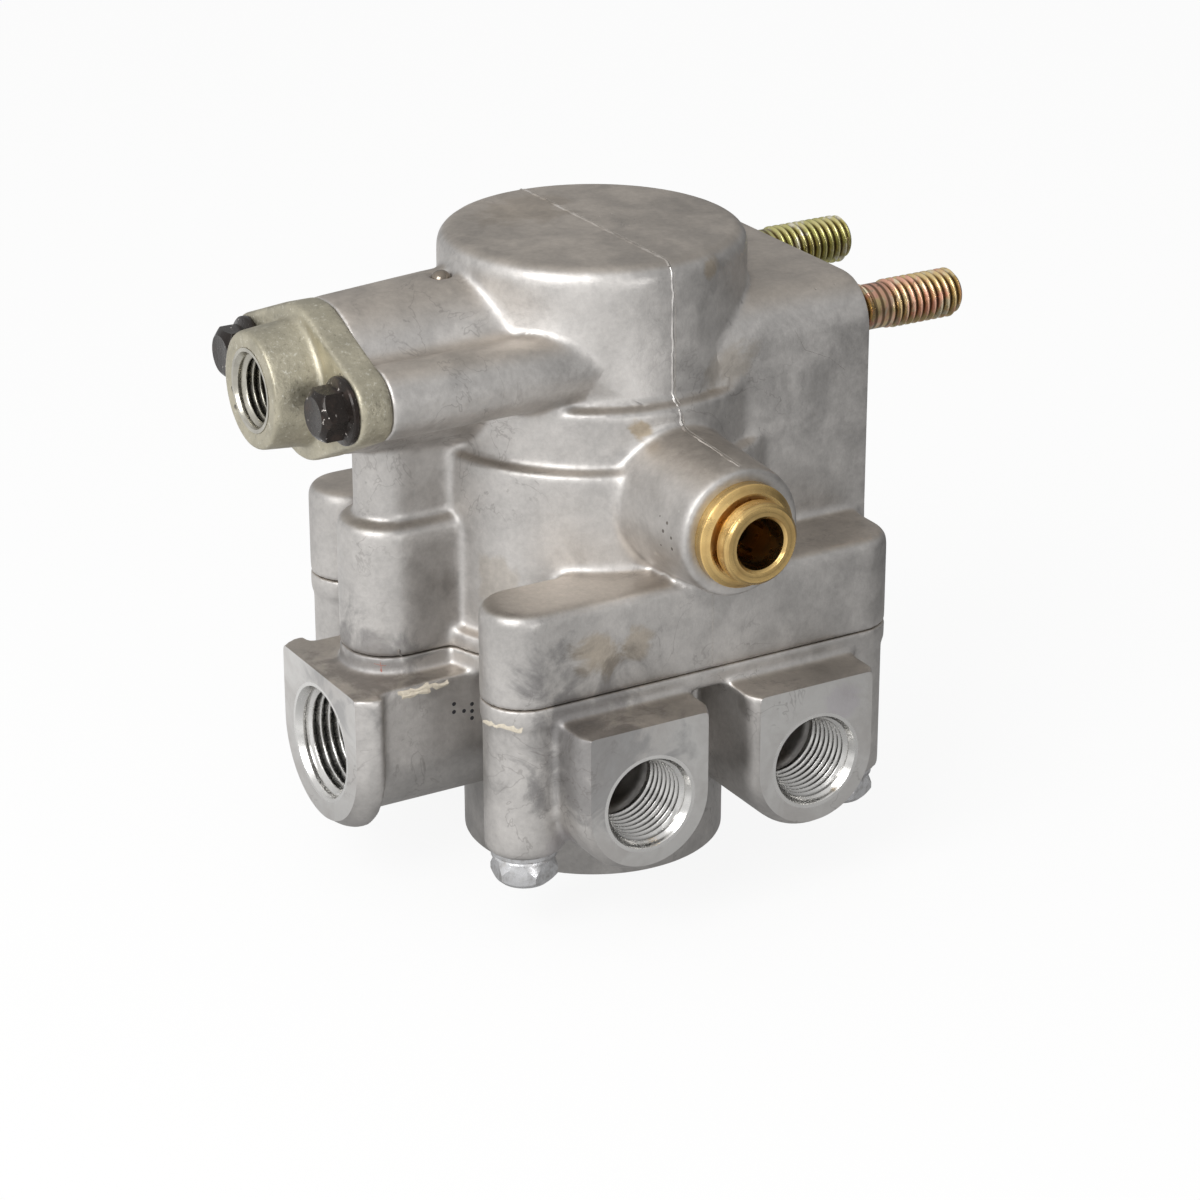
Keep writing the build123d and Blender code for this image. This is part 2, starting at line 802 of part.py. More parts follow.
with BuildPart() as fitting_body:
    shank_end = boss_face_y - fitting_depth
    sleeve_end = collet_inner_y - collet_travel - tube_stop_room
    seal_floor = tube_stop_y + seal_land
    seal_pocket_r = tube_bore_r + 2 * fitting_seal_t + 0.1
    with BuildSketch(Plane.YZ):
        with BuildLine():
            Polyline(
                (-shank_end, balance_z + balance_passage_r),
                (-shank_end, balance_z + fitting_shank_r),
                (-boss_face_y, balance_z + fitting_shank_r),
                (-boss_face_y, balance_z + fitting_r),
                (-fitting_edge_y, balance_z + fitting_r),
                (-fitting_face_y + 0.3, balance_z + fitting_nose_r + 0.5),
                (-fitting_face_y, balance_z + fitting_nose_r),
                (-fitting_face_y, balance_z + collet_sleeve_r + running),
                (-sleeve_end, balance_z + collet_sleeve_r + running),
                (-sleeve_end, balance_z + seal_pocket_r),
                (-seal_floor, balance_z + seal_pocket_r),
                (-seal_floor, balance_z + tube_bore_r),
                (-tube_stop_y, balance_z + tube_bore_r),
                (-tube_stop_y, balance_z + balance_passage_r),
                close=True,
            )
        make_face()
    revolve(axis=balance_axis)
finish(fitting_body, "fitting_body")

with BuildPart() as fitting_collet:
    with BuildSketch(Plane.YZ):
        with BuildLine():
            Polyline(
                (-collet_face_y, balance_z + tube_bore_r + 0.5),
                (-collet_face_y, balance_z + collet_r - collet_edge),
                (-collet_face_y + collet_edge, balance_z + collet_r),
                (-collet_face_y + collet_flange_t, balance_z + collet_r),
                (-collet_face_y + collet_flange_t, balance_z + collet_sleeve_r),
                (-collet_inner_y, balance_z + collet_sleeve_r),
                (-collet_inner_y, balance_z + tube_bore_r),
                (-collet_face_y + 0.5, balance_z + tube_bore_r),
                close=True,
            )
        make_face()
    revolve(axis=balance_axis)
    # The sleeve is slit into gripping fingers
    with BuildSketch(Plane.XZ.offset(collet_inner_y)):
        with Locations((0, balance_z)):
            with PolarLocations(0, 3):
                Rectangle(2.4 * collet_sleeve_r, collet_slit)
    extrude(amount=finger_length, mode=Mode.SUBTRACT)
finish(fitting_collet, "fitting_collet")

with BuildPart() as fitting_seal:
    seal_y = (sleeve_end + seal_floor) / 2
    ring_plane = Plane(origin=(0, -seal_y, balance_z), x_dir=(1, 0, 0), z_dir=(0, 1, 0))
    seal_ring(ring_plane, tube_bore_r + 0.05, fitting_seal_t)
finish(fitting_seal, "fitting_seal")

# PARTITION BETWEEN THE TWO PISTON BORES

with BuildPart() as partition:
    with BuildSketch(Plane.XZ):
        outer = partition_bore_r - running
        partition_mid = partition_z + partition_t / 2
        hub_top = mod_bottom - mod_boss_h
        with BuildLine():
            Polyline(
                (mod_stem_r + running, partition_z),
                (outer, partition_z),
                (outer, partition_mid - partition_seal_w / 2),
                (outer - partition_seal_d, partition_mid - partition_seal_w / 2),
                (outer - partition_seal_d, partition_mid + partition_seal_w / 2),
                (outer, partition_mid + partition_seal_w / 2),
                (outer, partition_z + partition_t),
                (mod_boss_r, partition_z + partition_t),
                (mod_boss_r, hub_top),
                (mod_stem_r + running, hub_top),
                close=True,
            )
        make_face()
    revolve(axis=Axis.Z)
finish(partition, "partition")

with BuildPart() as partition_seal:
    groove_r = partition_bore_r - running - partition_seal_d
    seal_ring(Plane.XY.offset(partition_mid), groove_r, partition_seal_d / 2)
finish(partition_seal, "partition_seal")

with BuildPart() as partition_ring:
    ring_r = partition_bore_r + ring_groove_d - 0.2
    snap_ring(partition_z - ring_t - 0.1, ring_r - ring_w, ring_r, ring_t, ring_gap)
finish(partition_ring, "partition_ring")

# MODULATING PISTON

mod_top = mod_bottom + mod_skirt_h
mod_seal_z = mod_bottom + mod_seal_rise

with BuildPart() as modulating_piston:
    with BuildSketch(Plane.XZ):
        outer = mod_bore_r - running
        stem_foot = relay_ceiling + mod_stem_room
        with BuildLine():
            Polyline(
                (0, stem_foot),
                (mod_stem_r, stem_foot),
                (mod_stem_r, mod_bottom - mod_boss_h),
                (mod_boss_r, mod_bottom - mod_boss_h),
                (mod_boss_r, mod_bottom),
                (outer, mod_bottom),
                (outer, mod_seal_z - mod_seal_w / 2),
                (outer - mod_seal_d, mod_seal_z - mod_seal_w / 2),
                (outer - mod_seal_d, mod_seal_z + mod_seal_w / 2),
                (outer, mod_seal_z + mod_seal_w / 2),
                (outer, mod_top),
                (outer - mod_skirt_t, mod_top),
                (outer - mod_skirt_t, mod_bottom + mod_web_t),
                (0, mod_bottom + mod_web_t),
                close=True,
            )
        make_face()
    revolve(axis=Axis.Z)
finish(modulating_piston, "modulating_piston")

with BuildPart() as modulating_piston_seal:
    seal_ring(Plane.XY.offset(mod_seal_z), mod_bore_r - running - mod_seal_d, mod_seal_d / 2)
finish(modulating_piston_seal, "modulating_piston_seal")

with BuildPart() as modulating_spring:
    coil(
        Vector(0, 0, mod_bottom + mod_web_t),
        Vector(0, 0, 1),
        mod_ceiling - mod_bottom - mod_web_t,
        mod_spring_r,
        mod_spring_wire,
        mod_spring_turns,
    )
finish(modulating_spring, "modulating_spring")

# RELAY PISTON

relay_top = relay_ceiling - static
relay_nose = seat_z + relay_gap
relay_seal_z = relay_top - relay_seal_drop

with BuildPart() as relay_piston:
    with BuildSketch(Plane.XZ):
        outer = relay_bore_r - running
        web_under = relay_top - relay_web_t
        with BuildLine():
            Polyline(
                (0, relay_nose),
                (relay_stem_r - relay_nose_edge, relay_nose),
                (relay_stem_r, relay_nose + relay_nose_edge),
                (relay_stem_r, web_under),
                (outer - relay_skirt_t, web_under),
                (outer - relay_skirt_t, relay_top - relay_t),
                (outer, relay_top - relay_t),
                (outer, relay_seal_z - relay_seal_w / 2),
                (outer - relay_seal_d, relay_seal_z - relay_seal_w / 2),
                (outer - relay_seal_d, relay_seal_z + relay_seal_w / 2),
                (outer, relay_seal_z + relay_seal_w / 2),
                (outer, relay_top),
                (0, relay_top),
                close=True,
            )
        make_face()
    revolve(axis=Axis.Z)
finish(relay_piston, "relay_piston")

with BuildPart() as relay_piston_seal:
    seal_ring(Plane.XY.offset(relay_seal_z), relay_bore_r - running - relay_seal_d, relay_seal_d / 2)
finish(relay_piston_seal, "relay_piston_seal")

with BuildPart() as relay_return_spring:
    coil(
        Vector(0, 0, delivery_floor),
        Vector(0, 0, 1),
        relay_top - relay_web_t - delivery_floor,
        relay_spring_r,
        relay_spring_wire,
        relay_spring_turns,
    )
finish(relay_return_spring, "relay_return_spring")

# INLET AND EXHAUST VALVE

valve_top = seat_z
disc_top = valve_top - facing_t
disc_under = disc_top - valve_disc_t

with BuildPart() as exhaust_valve:
    with BuildSketch(Plane.XZ):
        with BuildLine():
            Polyline(
                (valve_bore_r, valve_foot),
                (valve_tube_r, valve_foot),
                (valve_tube_r, disc_under),
                (valve_disc_r, disc_under),
                (valve_disc_r, disc_top),
                (valve_bore_r, disc_top),
                close=True,
            )
        make_face()
    revolve(axis=Axis.Z)
finish(exhaust_valve, "exhaust_valve")

with BuildPart() as valve_facing:
    with BuildSketch(Plane.XY.offset(disc_top)):
        Circle(valve_disc_r - 0.3)
        Circle(valve_bore_r, mode=Mode.SUBTRACT)
    extrude(amount=facing_t)
finish(valve_facing, "valve_facing")

guide_foot = cover_seat_z + 2.4

with BuildPart() as valve_guide:
    with BuildSketch(Plane.XZ):
        outer = guide_bore_r - running
        with BuildLine():
            Polyline(
                (valve_tube_r + running, guide_foot),
                (outer, guide_foot),
                (outer, guide_foot + 2.2),
                (outer - guide_seal_d, guide_foot + 2.2),
                (outer - guide_seal_d, guide_foot + 4.8),
                (outer, guide_foot + 4.8),
                (outer, guide_seat_z),
                (valve_tube_r + 2.2, guide_seat_z),
                (valve_tube_r + 2.2, guide_seat_z + 3.5),
                (valve_tube_r + running, guide_seat_z + 3.5),
                (valve_tube_r + running, guide_foot + 6.2),
                (valve_tube_r + running + wiper_d, guide_foot + 6.2),
                (valve_tube_r + running + wiper_d, guide_foot + 4.2),
                (valve_tube_r + running, guide_foot + 4.2),
                close=True,
            )
        make_face()
    revolve(axis=Axis.Z)
finish(valve_guide, "valve_guide")

with BuildPart() as guide_outer_seal:
    seal_ring(Plane.XY.offset(guide_foot + 3.5), guide_bore_r - running - guide_seal_d, guide_seal_d / 2)
finish(guide_outer_seal, "guide_outer_seal")

with BuildPart() as guide_inner_seal:
    seal_ring(Plane.XY.offset(guide_foot + 5.2), valve_tube_r + running, wiper_d / 2)
finish(guide_inner_seal, "guide_inner_seal")

with BuildPart() as valve_spring:
    coil(
        Vector(0, 0, guide_seat_z),
        Vector(0, 0, 1),
        disc_under - guide_seat_z,
        valve_spring_r,
        valve_spring_wire,
        valve_spring_turns,
    )
finish(valve_spring, "valve_spring")

with BuildPart() as guide_ring:
    snap_ring(cover_seat_z + 1.1, guide_bore_r - 2.0, guide_bore_r + 0.8, 1.2, 8)
finish(guide_ring, "guide_ring")

# EXHAUST COVER AND DIAPHRAGM

cover_under = 5.0
vent_pitch_r = 9.5
vent_count = 6
vent_r = 2.8
diaphragm_r = 14.5
diaphragm_t = 1.5
washer_r = 6.5
washer_t = 0.8
screw_r = 2.0
screw_head_r = 3.8
screw_head_h = 1.9

with BuildPart() as exhaust_cover:
    with BuildSketch(Plane.XY.offset(cover_under)):
        Circle(cover_bore_r - static)
        with PolarLocations(vent_pitch_r, vent_count):
            Circle(vent_r, mode=Mode.SUBTRACT)
        Circle(screw_r + running, mode=Mode.SUBTRACT)
    extrude(amount=cover_seat_z - cover_under)
finish(exhaust_cover, "exhaust_cover")

with BuildPart() as cover_ring:
    snap_ring(3.7, cover_bore_r - 2.6, cover_bore_r + 0.8, 1.2, 9)
finish(cover_ring, "cover_ring")

with BuildPart() as exhaust_diaphragm:
    with BuildSketch(Plane.XY.offset(cover_under - diaphragm_t)):
        Circle(diaphragm_r)
        Circle(screw_r + running, mode=Mode.SUBTRACT)
    extrude(amount=diaphragm_t)
finish(exhaust_diaphragm, "exhaust_diaphragm")

with BuildPart() as diaphragm_washer:
    with BuildSketch(Plane.XY.offset(cover_under - diaphragm_t - washer_t)):
        Circle(washer_r)
        Circle(screw_r + running, mode=Mode.SUBTRACT)
    extrude(amount=washer_t)
finish(diaphragm_washer, "diaphragm_washer")

with BuildPart() as diaphragm_screw:
    head_seat = cover_under - diaphragm_t - washer_t
    with BuildSketch(Plane.XY.offset(head_seat)):
        Circle(screw_head_r)
    extrude(amount=-screw_head_h, taper=12)
    with BuildSketch(Plane.XY.offset(head_seat)):
        Circle(screw_r)
    extrude(amount=cover_seat_z - head_seat)
finish(diaphragm_screw, "diaphragm_screw")

# SUPPLY CHECK VALVE

check_seat_x = supply_face_x - supply_depth
check_seat_t = 2.5
check_seat_bore_r = 4.2
check_guide_t = 4.0
guide_hole_pitch_r = 4.7
guide_hole_r = 1.5

with BuildPart() as check_seat:
    with BuildSketch(facing_left(check_seat_x)):
        with Locations((0, supply_z)):
            Circle(check_bore_r - running)
            Circle(check_seat_bore_r, mode=Mode.SUBTRACT)
    extrude(amount=-check_seat_t)
finish(check_seat, "check_seat")

with BuildPart() as check_poppet:
    with BuildSketch(facing_left(check_seat_x - check_seat_t)):
        with Locations((0, supply_z)):
            Circle(check_disc_r)
    extrude(amount=-check_disc_t)
    with BuildSketch(facing_left(check_seat_x - check_seat_t)):
        with Locations((0, supply_z)):
            Circle(check_stem_r)
    extrude(amount=-(check_seat_x - check_seat_t - check_end_x - 1))
finish(check_poppet, "check_poppet")

with BuildPart() as check_guide:
    with BuildSketch(facing_left(check_end_x + check_guide_t)):
        with Locations((0, supply_z)):
            Circle(check_bore_r - running)
            Circle(check_stem_r + running, mode=Mode.SUBTRACT)
            with PolarLocations(guide_hole_pitch_r, 4, start_angle=45):
                Circle(guide_hole_r, mode=Mode.SUBTRACT)
    extrude(amount=-check_guide_t)
finish(check_guide, "check_guide")

with BuildPart() as check_spring:
    coil(
        Vector(-(check_end_x + check_guide_t), 0, supply_z),
        Vector(-1, 0, 0),
        check_seat_x - check_seat_t - check_disc_t - check_end_x - check_guide_t,
        check_spring_r,
        check_spring_wire,
        check_spring_turns,
    )
finish(check_spring, "check_spring")
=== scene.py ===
"""Finish of the spring brake modulating valve: castings, threads, bolts, studs and fitting."""
import json
import math
import random
from contextlib import contextmanager

import bmesh
import bpy
import numpy as np
from bpy.props import FloatProperty, FloatVectorProperty, IntProperty, PointerProperty
from mathutils import Matrix, Vector
from mathutils.bvhtree import BVHTree


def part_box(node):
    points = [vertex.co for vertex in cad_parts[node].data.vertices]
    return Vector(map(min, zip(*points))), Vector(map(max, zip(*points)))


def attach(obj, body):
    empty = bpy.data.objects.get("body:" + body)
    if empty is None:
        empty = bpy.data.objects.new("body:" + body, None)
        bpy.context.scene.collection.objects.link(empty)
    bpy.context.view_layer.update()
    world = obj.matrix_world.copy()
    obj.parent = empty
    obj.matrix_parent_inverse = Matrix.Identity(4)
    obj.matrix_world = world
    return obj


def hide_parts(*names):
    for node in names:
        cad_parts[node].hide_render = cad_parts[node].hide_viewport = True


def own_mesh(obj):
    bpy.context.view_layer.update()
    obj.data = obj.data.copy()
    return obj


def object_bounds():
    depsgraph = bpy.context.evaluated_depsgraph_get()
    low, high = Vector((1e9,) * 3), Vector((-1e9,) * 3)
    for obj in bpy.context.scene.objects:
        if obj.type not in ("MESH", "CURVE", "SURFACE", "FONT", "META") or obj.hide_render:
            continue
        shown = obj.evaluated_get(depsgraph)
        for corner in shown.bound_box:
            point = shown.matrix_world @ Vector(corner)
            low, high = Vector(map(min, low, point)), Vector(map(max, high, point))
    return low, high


bl_info = {
    "name": "Spring Brake Modulating Valve",
    "version": (1, 0, 0),
    "blender": (4, 5, 0),
    "location": "View3D > Sidebar > Valve",
    "description": "Finishes the castings, threads, bolts, studs and fitting of an air brake valve",
    "category": "Object",
}

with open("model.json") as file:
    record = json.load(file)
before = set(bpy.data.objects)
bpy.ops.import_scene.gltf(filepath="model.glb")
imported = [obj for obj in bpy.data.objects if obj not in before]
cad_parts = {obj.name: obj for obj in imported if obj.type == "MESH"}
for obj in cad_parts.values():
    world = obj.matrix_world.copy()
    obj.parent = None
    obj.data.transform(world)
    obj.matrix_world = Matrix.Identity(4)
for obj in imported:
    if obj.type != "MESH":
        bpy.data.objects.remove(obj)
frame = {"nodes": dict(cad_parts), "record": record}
cad_low, cad_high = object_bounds()

MM = 0.001
# Points this close to a face lie on it, and points this close to each other become one
NEAR = 0.02 * MM
WELD = 1e-6
FINE_WELD = 1e-7
# Attribute of a thread's mesh that says how deep in its groove a point lies
GROOVE = "groove"
# Machined faces are cast this much proud and then cut
STOCK = 1.5 * MM
# At its face a port's hole is widened by the first, and its thread's mouth by the second
MOUTH_ROOM = 0.8 * MM
MOUTH_CONE = 0.30 * MM
# From the control port's face to the end of the casting's tube
ADAPTER_LENGTH = 15.7 * MM
# Flat top of the supply boss: its length from the port's face, and how far it is under the joint
BOSS_LENGTH = 5.55 * MM
BOSS_DROP = 3.6 * MM
# Low and high corner of the places where the tube and the fitting's boss run into the barrel
TUBE_ROOT = ((-37 * MM, -25 * MM, 88 * MM), (-15 * MM, 25 * MM, math.inf))
BOSS_ROOT = ((-18 * MM, -41 * MM, 68 * MM), (18 * MM, -29 * MM, math.inf))
# Radius round the main axis, and a level: the relay piston's bore with a little more, and the
# places deep inside each casting
RELAY_BORE = (29.6 * MM, 64 * MM)
UPPER_INSIDE = (29.5 * MM, 115.5 * MM)
LOWER_INSIDE = (27.5 * MM, 5.5 * MM)
# The front stud is this much shorter than the back one
FRONT_SHORTER = 1.4 * MM
MOUNTS = {m["name"]: m for m in frame["record"]["mounts"]}
NODES = frame["nodes"]

# The photograph's camera, in its frame of 1200 by 1200 pixels
PHOTO_SIDE = 1200
PHOTO_FOCAL = 3530.0
PHOTO_CENTRE = (579.0, 521.0)
CAMERA_PLACE = Vector((-0.3185, -0.5485, 0.3155))
CAMERA_AZIMUTH = math.radians(29.91)
CAMERA_ELEVATION = math.radians(21.68)
CAMERA_ROLL = math.radians(-0.2)
SENSOR = 36.0


# SETTINGS


def distance(name, description, value, least):
    """Property that is a length, in metres."""
    return FloatProperty(name=name, description=description, default=value, min=least, unit="LENGTH")


def amount(name, description, value):
    """Plain number property that is never negative."""
    return FloatProperty(name=name, description=description, default=value, min=0.0)


def colour(name, description, value):
    """Colour property of one finish."""
    return FloatVectorProperty(
        name=name, description=description, default=value, size=3, min=0.0, max=1.0, subtype="COLOR")


class ValveSizes(bpy.types.PropertyGroup):
    """Sizes of the threads, bolts and soft edges"""

    casting_cell: distance("Casting cell", "Cell of the castings' mesh", 0.70 * MM, 0.4 * MM)
    casting_passes: IntProperty(
        name="Casting passes", description="Smoothing passes that round the castings' edges",
        default=10, min=0)
    delivery_pitch: distance(
        "Delivery pitch", "Thread pitch of the delivery and control ports", 1.411 * MM, 0.5 * MM)
    supply_pitch: distance("Supply pitch", "Thread pitch of the supply port", 1.814 * MM, 0.5 * MM)
    stud_pitch: distance("Stud pitch", "Thread pitch of the mounting studs", 1.5875 * MM, 0.5 * MM)
    body_hexagon: distance(
        "Body bolt hexagon", "Width across the flats of the bolts under the lower casting",
        11.1 * MM, 4 * MM)
    adapter_hexagon: distance(
        "Adapter bolt hexagon", "Width across the flats of the adapter's bolts", 8.9 * MM, 4 * MM)
    flash_height: distance(
        "Flash height", "How far the castings' parting line stands proud", 0.19 * MM, 0.0)


class ValveColours(bpy.types.PropertyGroup):
    """Colours of the finishes"""

    cast: colour("Cast aluminium", "Skin of the die castings", (0.565, 0.545, 0.525))
    machined: colour("Machined aluminium", "Cut faces and threads", (0.74, 0.73, 0.71))
    adapter: colour("Adapter plating", "Olive zinc plate of the control adapter", (0.44, 0.408, 0.315))
    black: colour("Black bolts", "Bolts of the control adapter", (0.018, 0.014, 0.012))
    zinc: colour("Zinc bolts", "Bolts under the lower casting", (0.66, 0.66, 0.67))
    chromate: colour("Chromate", "Yellow chromate of the studs", (0.72, 0.55, 0.28))
    brass: colour("Brass", "Balance fitting", (0.88, 0.61, 0.25))
    rubber: colour("Rubber", "Seals, diaphragm and valve facing", (0.022, 0.022, 0.023))
    steel: colour("Spring steel", "Springs and retaining rings", (0.46, 0.46, 0.47))
    plastic: colour("Plastic", "Cage, check valve and guide", (0.72, 0.69, 0.60))


class StageSettings(bpy.types.PropertyGroup):
    """Floor and light"""

    floor: colour("Floor", "Plain pale floor", (0.88, 0.88, 0.87))
    key_power: amount("Key light", "Power of the large soft light on the left", 5.0)
    front_power: amount("Front light", "Power of the small low light in front", 1.2)
    left: amount("Left", "Brightness of the room on the left", 1.0)
    right: amount("Right", "Brightness of the room on the right", 0.17)
    overhead: amount("Overhead", "How much brighter the room is overhead", 0.42)


# SHADER GRAPHS


def scaled(tint, share):
    """A colour made darker, or lighter up to 1."""
    return tuple(min(1.0, share * c) for c in tint)


class Graph:
    """Shader nodes of a material or a world, and short ways to add to them."""

    def __init__(self, owner, output):
        owner.use_nodes = True
        self.owner = owner
        self.tree = owner.node_tree
        self.tree.nodes.clear()
        self.out = self.node(output)

    def node(self, kind, **sockets):
        """Add a node and feed its inputs, which are named with underscores."""
        node = self.tree.nodes.new("ShaderNode" + kind)
        for name, value in sockets.items():
            self.feed(node.inputs[name.replace("_", " ")], value)
        return node

    def show(self, shader):
        """End in a shader."""
        self.tree.links.new(shader.outputs[0], self.out.inputs["Surface"])

    def show_either(self, share, first, second):
        """End in a mix of two shaders."""
        both = self.node("MixShader", Fac=share)
        self.tree.links.new(first.outputs[0], both.inputs[1])
        self.tree.links.new(second.outputs[0], both.inputs[2])
        self.show(both)

    def feed(self, socket, value):
        """Link a socket to an output, or set its value."""
        if isinstance(value, bpy.types.NodeSocket):
            self.tree.links.new(value, socket)
        elif socket.type == "RGBA" and len(value) == 3:
            socket.default_value = (*value, 1.0)
        else:
            socket.default_value = value

    def combined(self, kind, operation, a, b):
        """Outputs of one operation on two values."""
        node = self.node(kind)
        node.operation = operation
        self.feed(node.inputs[0], a)
        self.feed(node.inputs[1], b)
        return node.outputs

    def math(self, operation, a, b=0.0):
        return self.combined("Math", operation, a, b)[0]

    def times(self, a, b):
        return self.math("MULTIPLY", a, b)

    def vector(self, operation, a, b=(0.0, 0.0, 0.0)):
        single = operation in ("LENGTH", "DOT_PRODUCT")
        return self.combined("VectorMath", operation, a, b)["Value" if single else "Vector"]

    def span(self, value, low, high, to_low=0.0, to_high=1.0, smooth=True):
        """Map a value's span to another one."""
        node = self.node("MapRange")
        node.interpolation_type = "SMOOTHSTEP" if smooth else "LINEAR"
        for socket, v in zip(node.inputs, (value, low, high, to_low, to_high)):
            self.feed(socket, v)
        return node.outputs["Result"]

    def mix(self, share, a, b, blend="MIX"):
        node = self.node("Mix")
        node.data_type = "RGBA"
        node.blend_type = blend
        for index, value in ((0, share), (6, a), (7, b)):
            self.feed(node.inputs[index], value)
        return node.outputs[2]

    def tinted(self, base, tint):
        return self.mix(1.0, base, tint, "MULTIPLY")

    def shaded(self, base, tone):
        """A colour times a grey tone."""
        return self.tinted(base, self.node("CombineXYZ", X=tone, Y=tone, Z=tone).outputs[0])

    def parts(self, vector):
        return self.node("SeparateXYZ", Vector=vector).outputs


class Skin(Graph):
    """A new material, with its place and normal on the object."""

    def __init__(self, name):
        super().__init__(bpy.data.materials.new(name), "OutputMaterial")
        self.shader = self.node("BsdfPrincipled")
        self.show(self.shader)
        self.place = self.node("TexCoord").outputs["Object"]
        self.normal = self.node("NewGeometry").outputs["Normal"]

    def noise(self, scale, detail=2.0, roughness=0.5, place=None, distortion=0.0):
        node = self.node(
            "TexNoise", Vector=place or self.place, Scale=scale, Detail=detail, Roughness=roughness,
            Distortion=distortion)
        return node.outputs["Fac"]

    def cells(self, scale):
        return self.node("TexVoronoi", Vector=self.place, Scale=scale).outputs["Distance"]

    def groove(self):
        """How deep a point lies in a thread's groove, from 0 at the crest to 1."""
        node = self.node("Attribute")
        node.attribute_name = GROOVE
        return node.outputs["Fac"]

    def bump(self, height, distance, under=None):
        node = self.node("Bump", Strength=1.0, Distance=distance, Height=height)
        if under is not None:
            self.feed(node.inputs["Normal"], under)
        return node.outputs["Normal"]

    def surface(self, **sockets):
        """Feed the shader's own inputs, which are named with underscores."""
        for name, value in sockets.items():
            self.feed(self.shader.inputs[name.replace("_", " ")], value)
        return self.owner


def cast_skin(settings, stains_and_shade, faces):
    """Satin die-cast aluminium: mottled, finely pitted, darker on top, stained here and there, with
    patches of painted shade.
    """
    g = Skin("cast_aluminium")
    large = g.noise(30.0, 4.0, 0.55)
    cloud = g.noise(110.0, 5.0, 0.62, distortion=0.6)
    speck = g.noise(850.0, 4.0, 0.7)
    tone = g.math(
        "ADD", g.span(large, 0.3, 0.7, 0.86, 1.10), g.span(cloud, 0.28, 0.75, -0.10, 0.10))
    tone = g.math("ADD", tone, g.span(speck, 0.25, 0.75, -0.07, 0.07))
    base = g.shaded(tuple(settings.cast), tone)
    spot = g.parts(g.place)
    lean = g.parts(g.normal)
    up = g.span(lean[2], 0.55, 0.95)
    base = g.mix(up, base, g.tinted(base, (0.82, 0.775, 0.72)))
    rough = g.span(cloud, 0.3, 0.7, 0.44, 0.57)
    cut = None
    for axis, level, side in faces:
        flat = g.span(g.math("ABSOLUTE", g.math("SUBTRACT", spot[axis], level)), 0.12 * MM, 0.05 * MM)
        facing = g.span(g.times(lean[axis], side), 0.93, 0.98)
        mask = g.times(flat, facing)
        cut = mask if cut is None else g.math("MAXIMUM", cut, mask)
    worked = g.mix(g.span(cloud, 0.35, 0.7), tuple(settings.machined), (0.56, 0.54, 0.52))
    base = g.mix(g.times(cut, 0.75), base, worked)
    rough = g.math("SUBTRACT", rough, g.times(cut, 0.16))
    # Most patches are stains; the grey ones are painted shade that darkens the skin where it lies in
    # shade
    for centre, radius, tint, depth in stains_and_shade:
        away = g.vector("LENGTH", g.vector("SUBTRACT", g.place, centre))
        edge = g.math("ADD", away, g.span(cloud, 0.2, 0.8, -0.55 * radius, 0.55 * radius))
        mask = g.times(g.span(edge, radius, 0.45 * radius), depth)
        base = g.mix(mask, base, g.tinted(base, tint))
        rough = g.math("ADD", rough, g.times(mask, 0.1))
    vein = g.math("ABSOLUTE", g.math("SUBTRACT", g.noise(85.0, 4.0, 0.6, distortion=0.8), 0.5))
    vein = g.times(g.span(vein, 0.014, 0.0), g.span(g.noise(35.0, 2.0), 0.52, 0.62))
    base = g.mix(g.times(vein, 0.32), base, (0.20, 0.18, 0.17))
    pits = g.span(g.cells(620.0), 0.06, 0.15)
    rare = g.span(g.noise(70.0, 2.0), 0.64, 0.72)
    pit_mask = g.times(g.math("SUBTRACT", 1.0, pits), rare)
    base = g.mix(g.times(pit_mask, 0.35), base, (0.22, 0.21, 0.20))
    normal = g.bump(g.noise(230.0, 3.0, 0.55), 0.00010)
    normal = g.bump(speck, 0.00004, normal)
    normal = g.bump(g.times(pit_mask, -1.0), 0.00015, normal)
    return g.surface(Base_Color=base, Metallic=1.0, Roughness=rough, Normal=normal)


def cut_metal(name, tint, roughness, ring_pitch, grime, shaded_grooves=False):
    """Turned or threaded metal with fine tool marks, darker dirt in patches, and painted shade deep in
    its thread's grooves.
    """
    g = Skin(name)
    patch = g.noise(260.0, 4.0, 0.6, distortion=0.4)
    base = g.mix(g.span(patch, 0.35, 0.75, 0.0, grime), tint, scaled(tint, 0.35))
    if shaded_grooves:
        # Painted shade: darker towards the root of each thread groove
        base = g.mix(g.span(g.groove(), 0.25, 0.95, 0.0, 0.8), base, scaled(tint, 0.16))
    rough = g.span(g.noise(500.0, 2.0), 0.3, 0.7, roughness - 0.06, roughness + 0.08)
    normal = g.bump(g.noise(1.0 / ring_pitch, 2.0, 0.5), 0.000004)
    normal = g.bump(g.noise(2600.0, 2.0), 0.000003, normal)
    return g.surface(Base_Color=base, Metallic=1.0, Roughness=rough, Normal=normal)


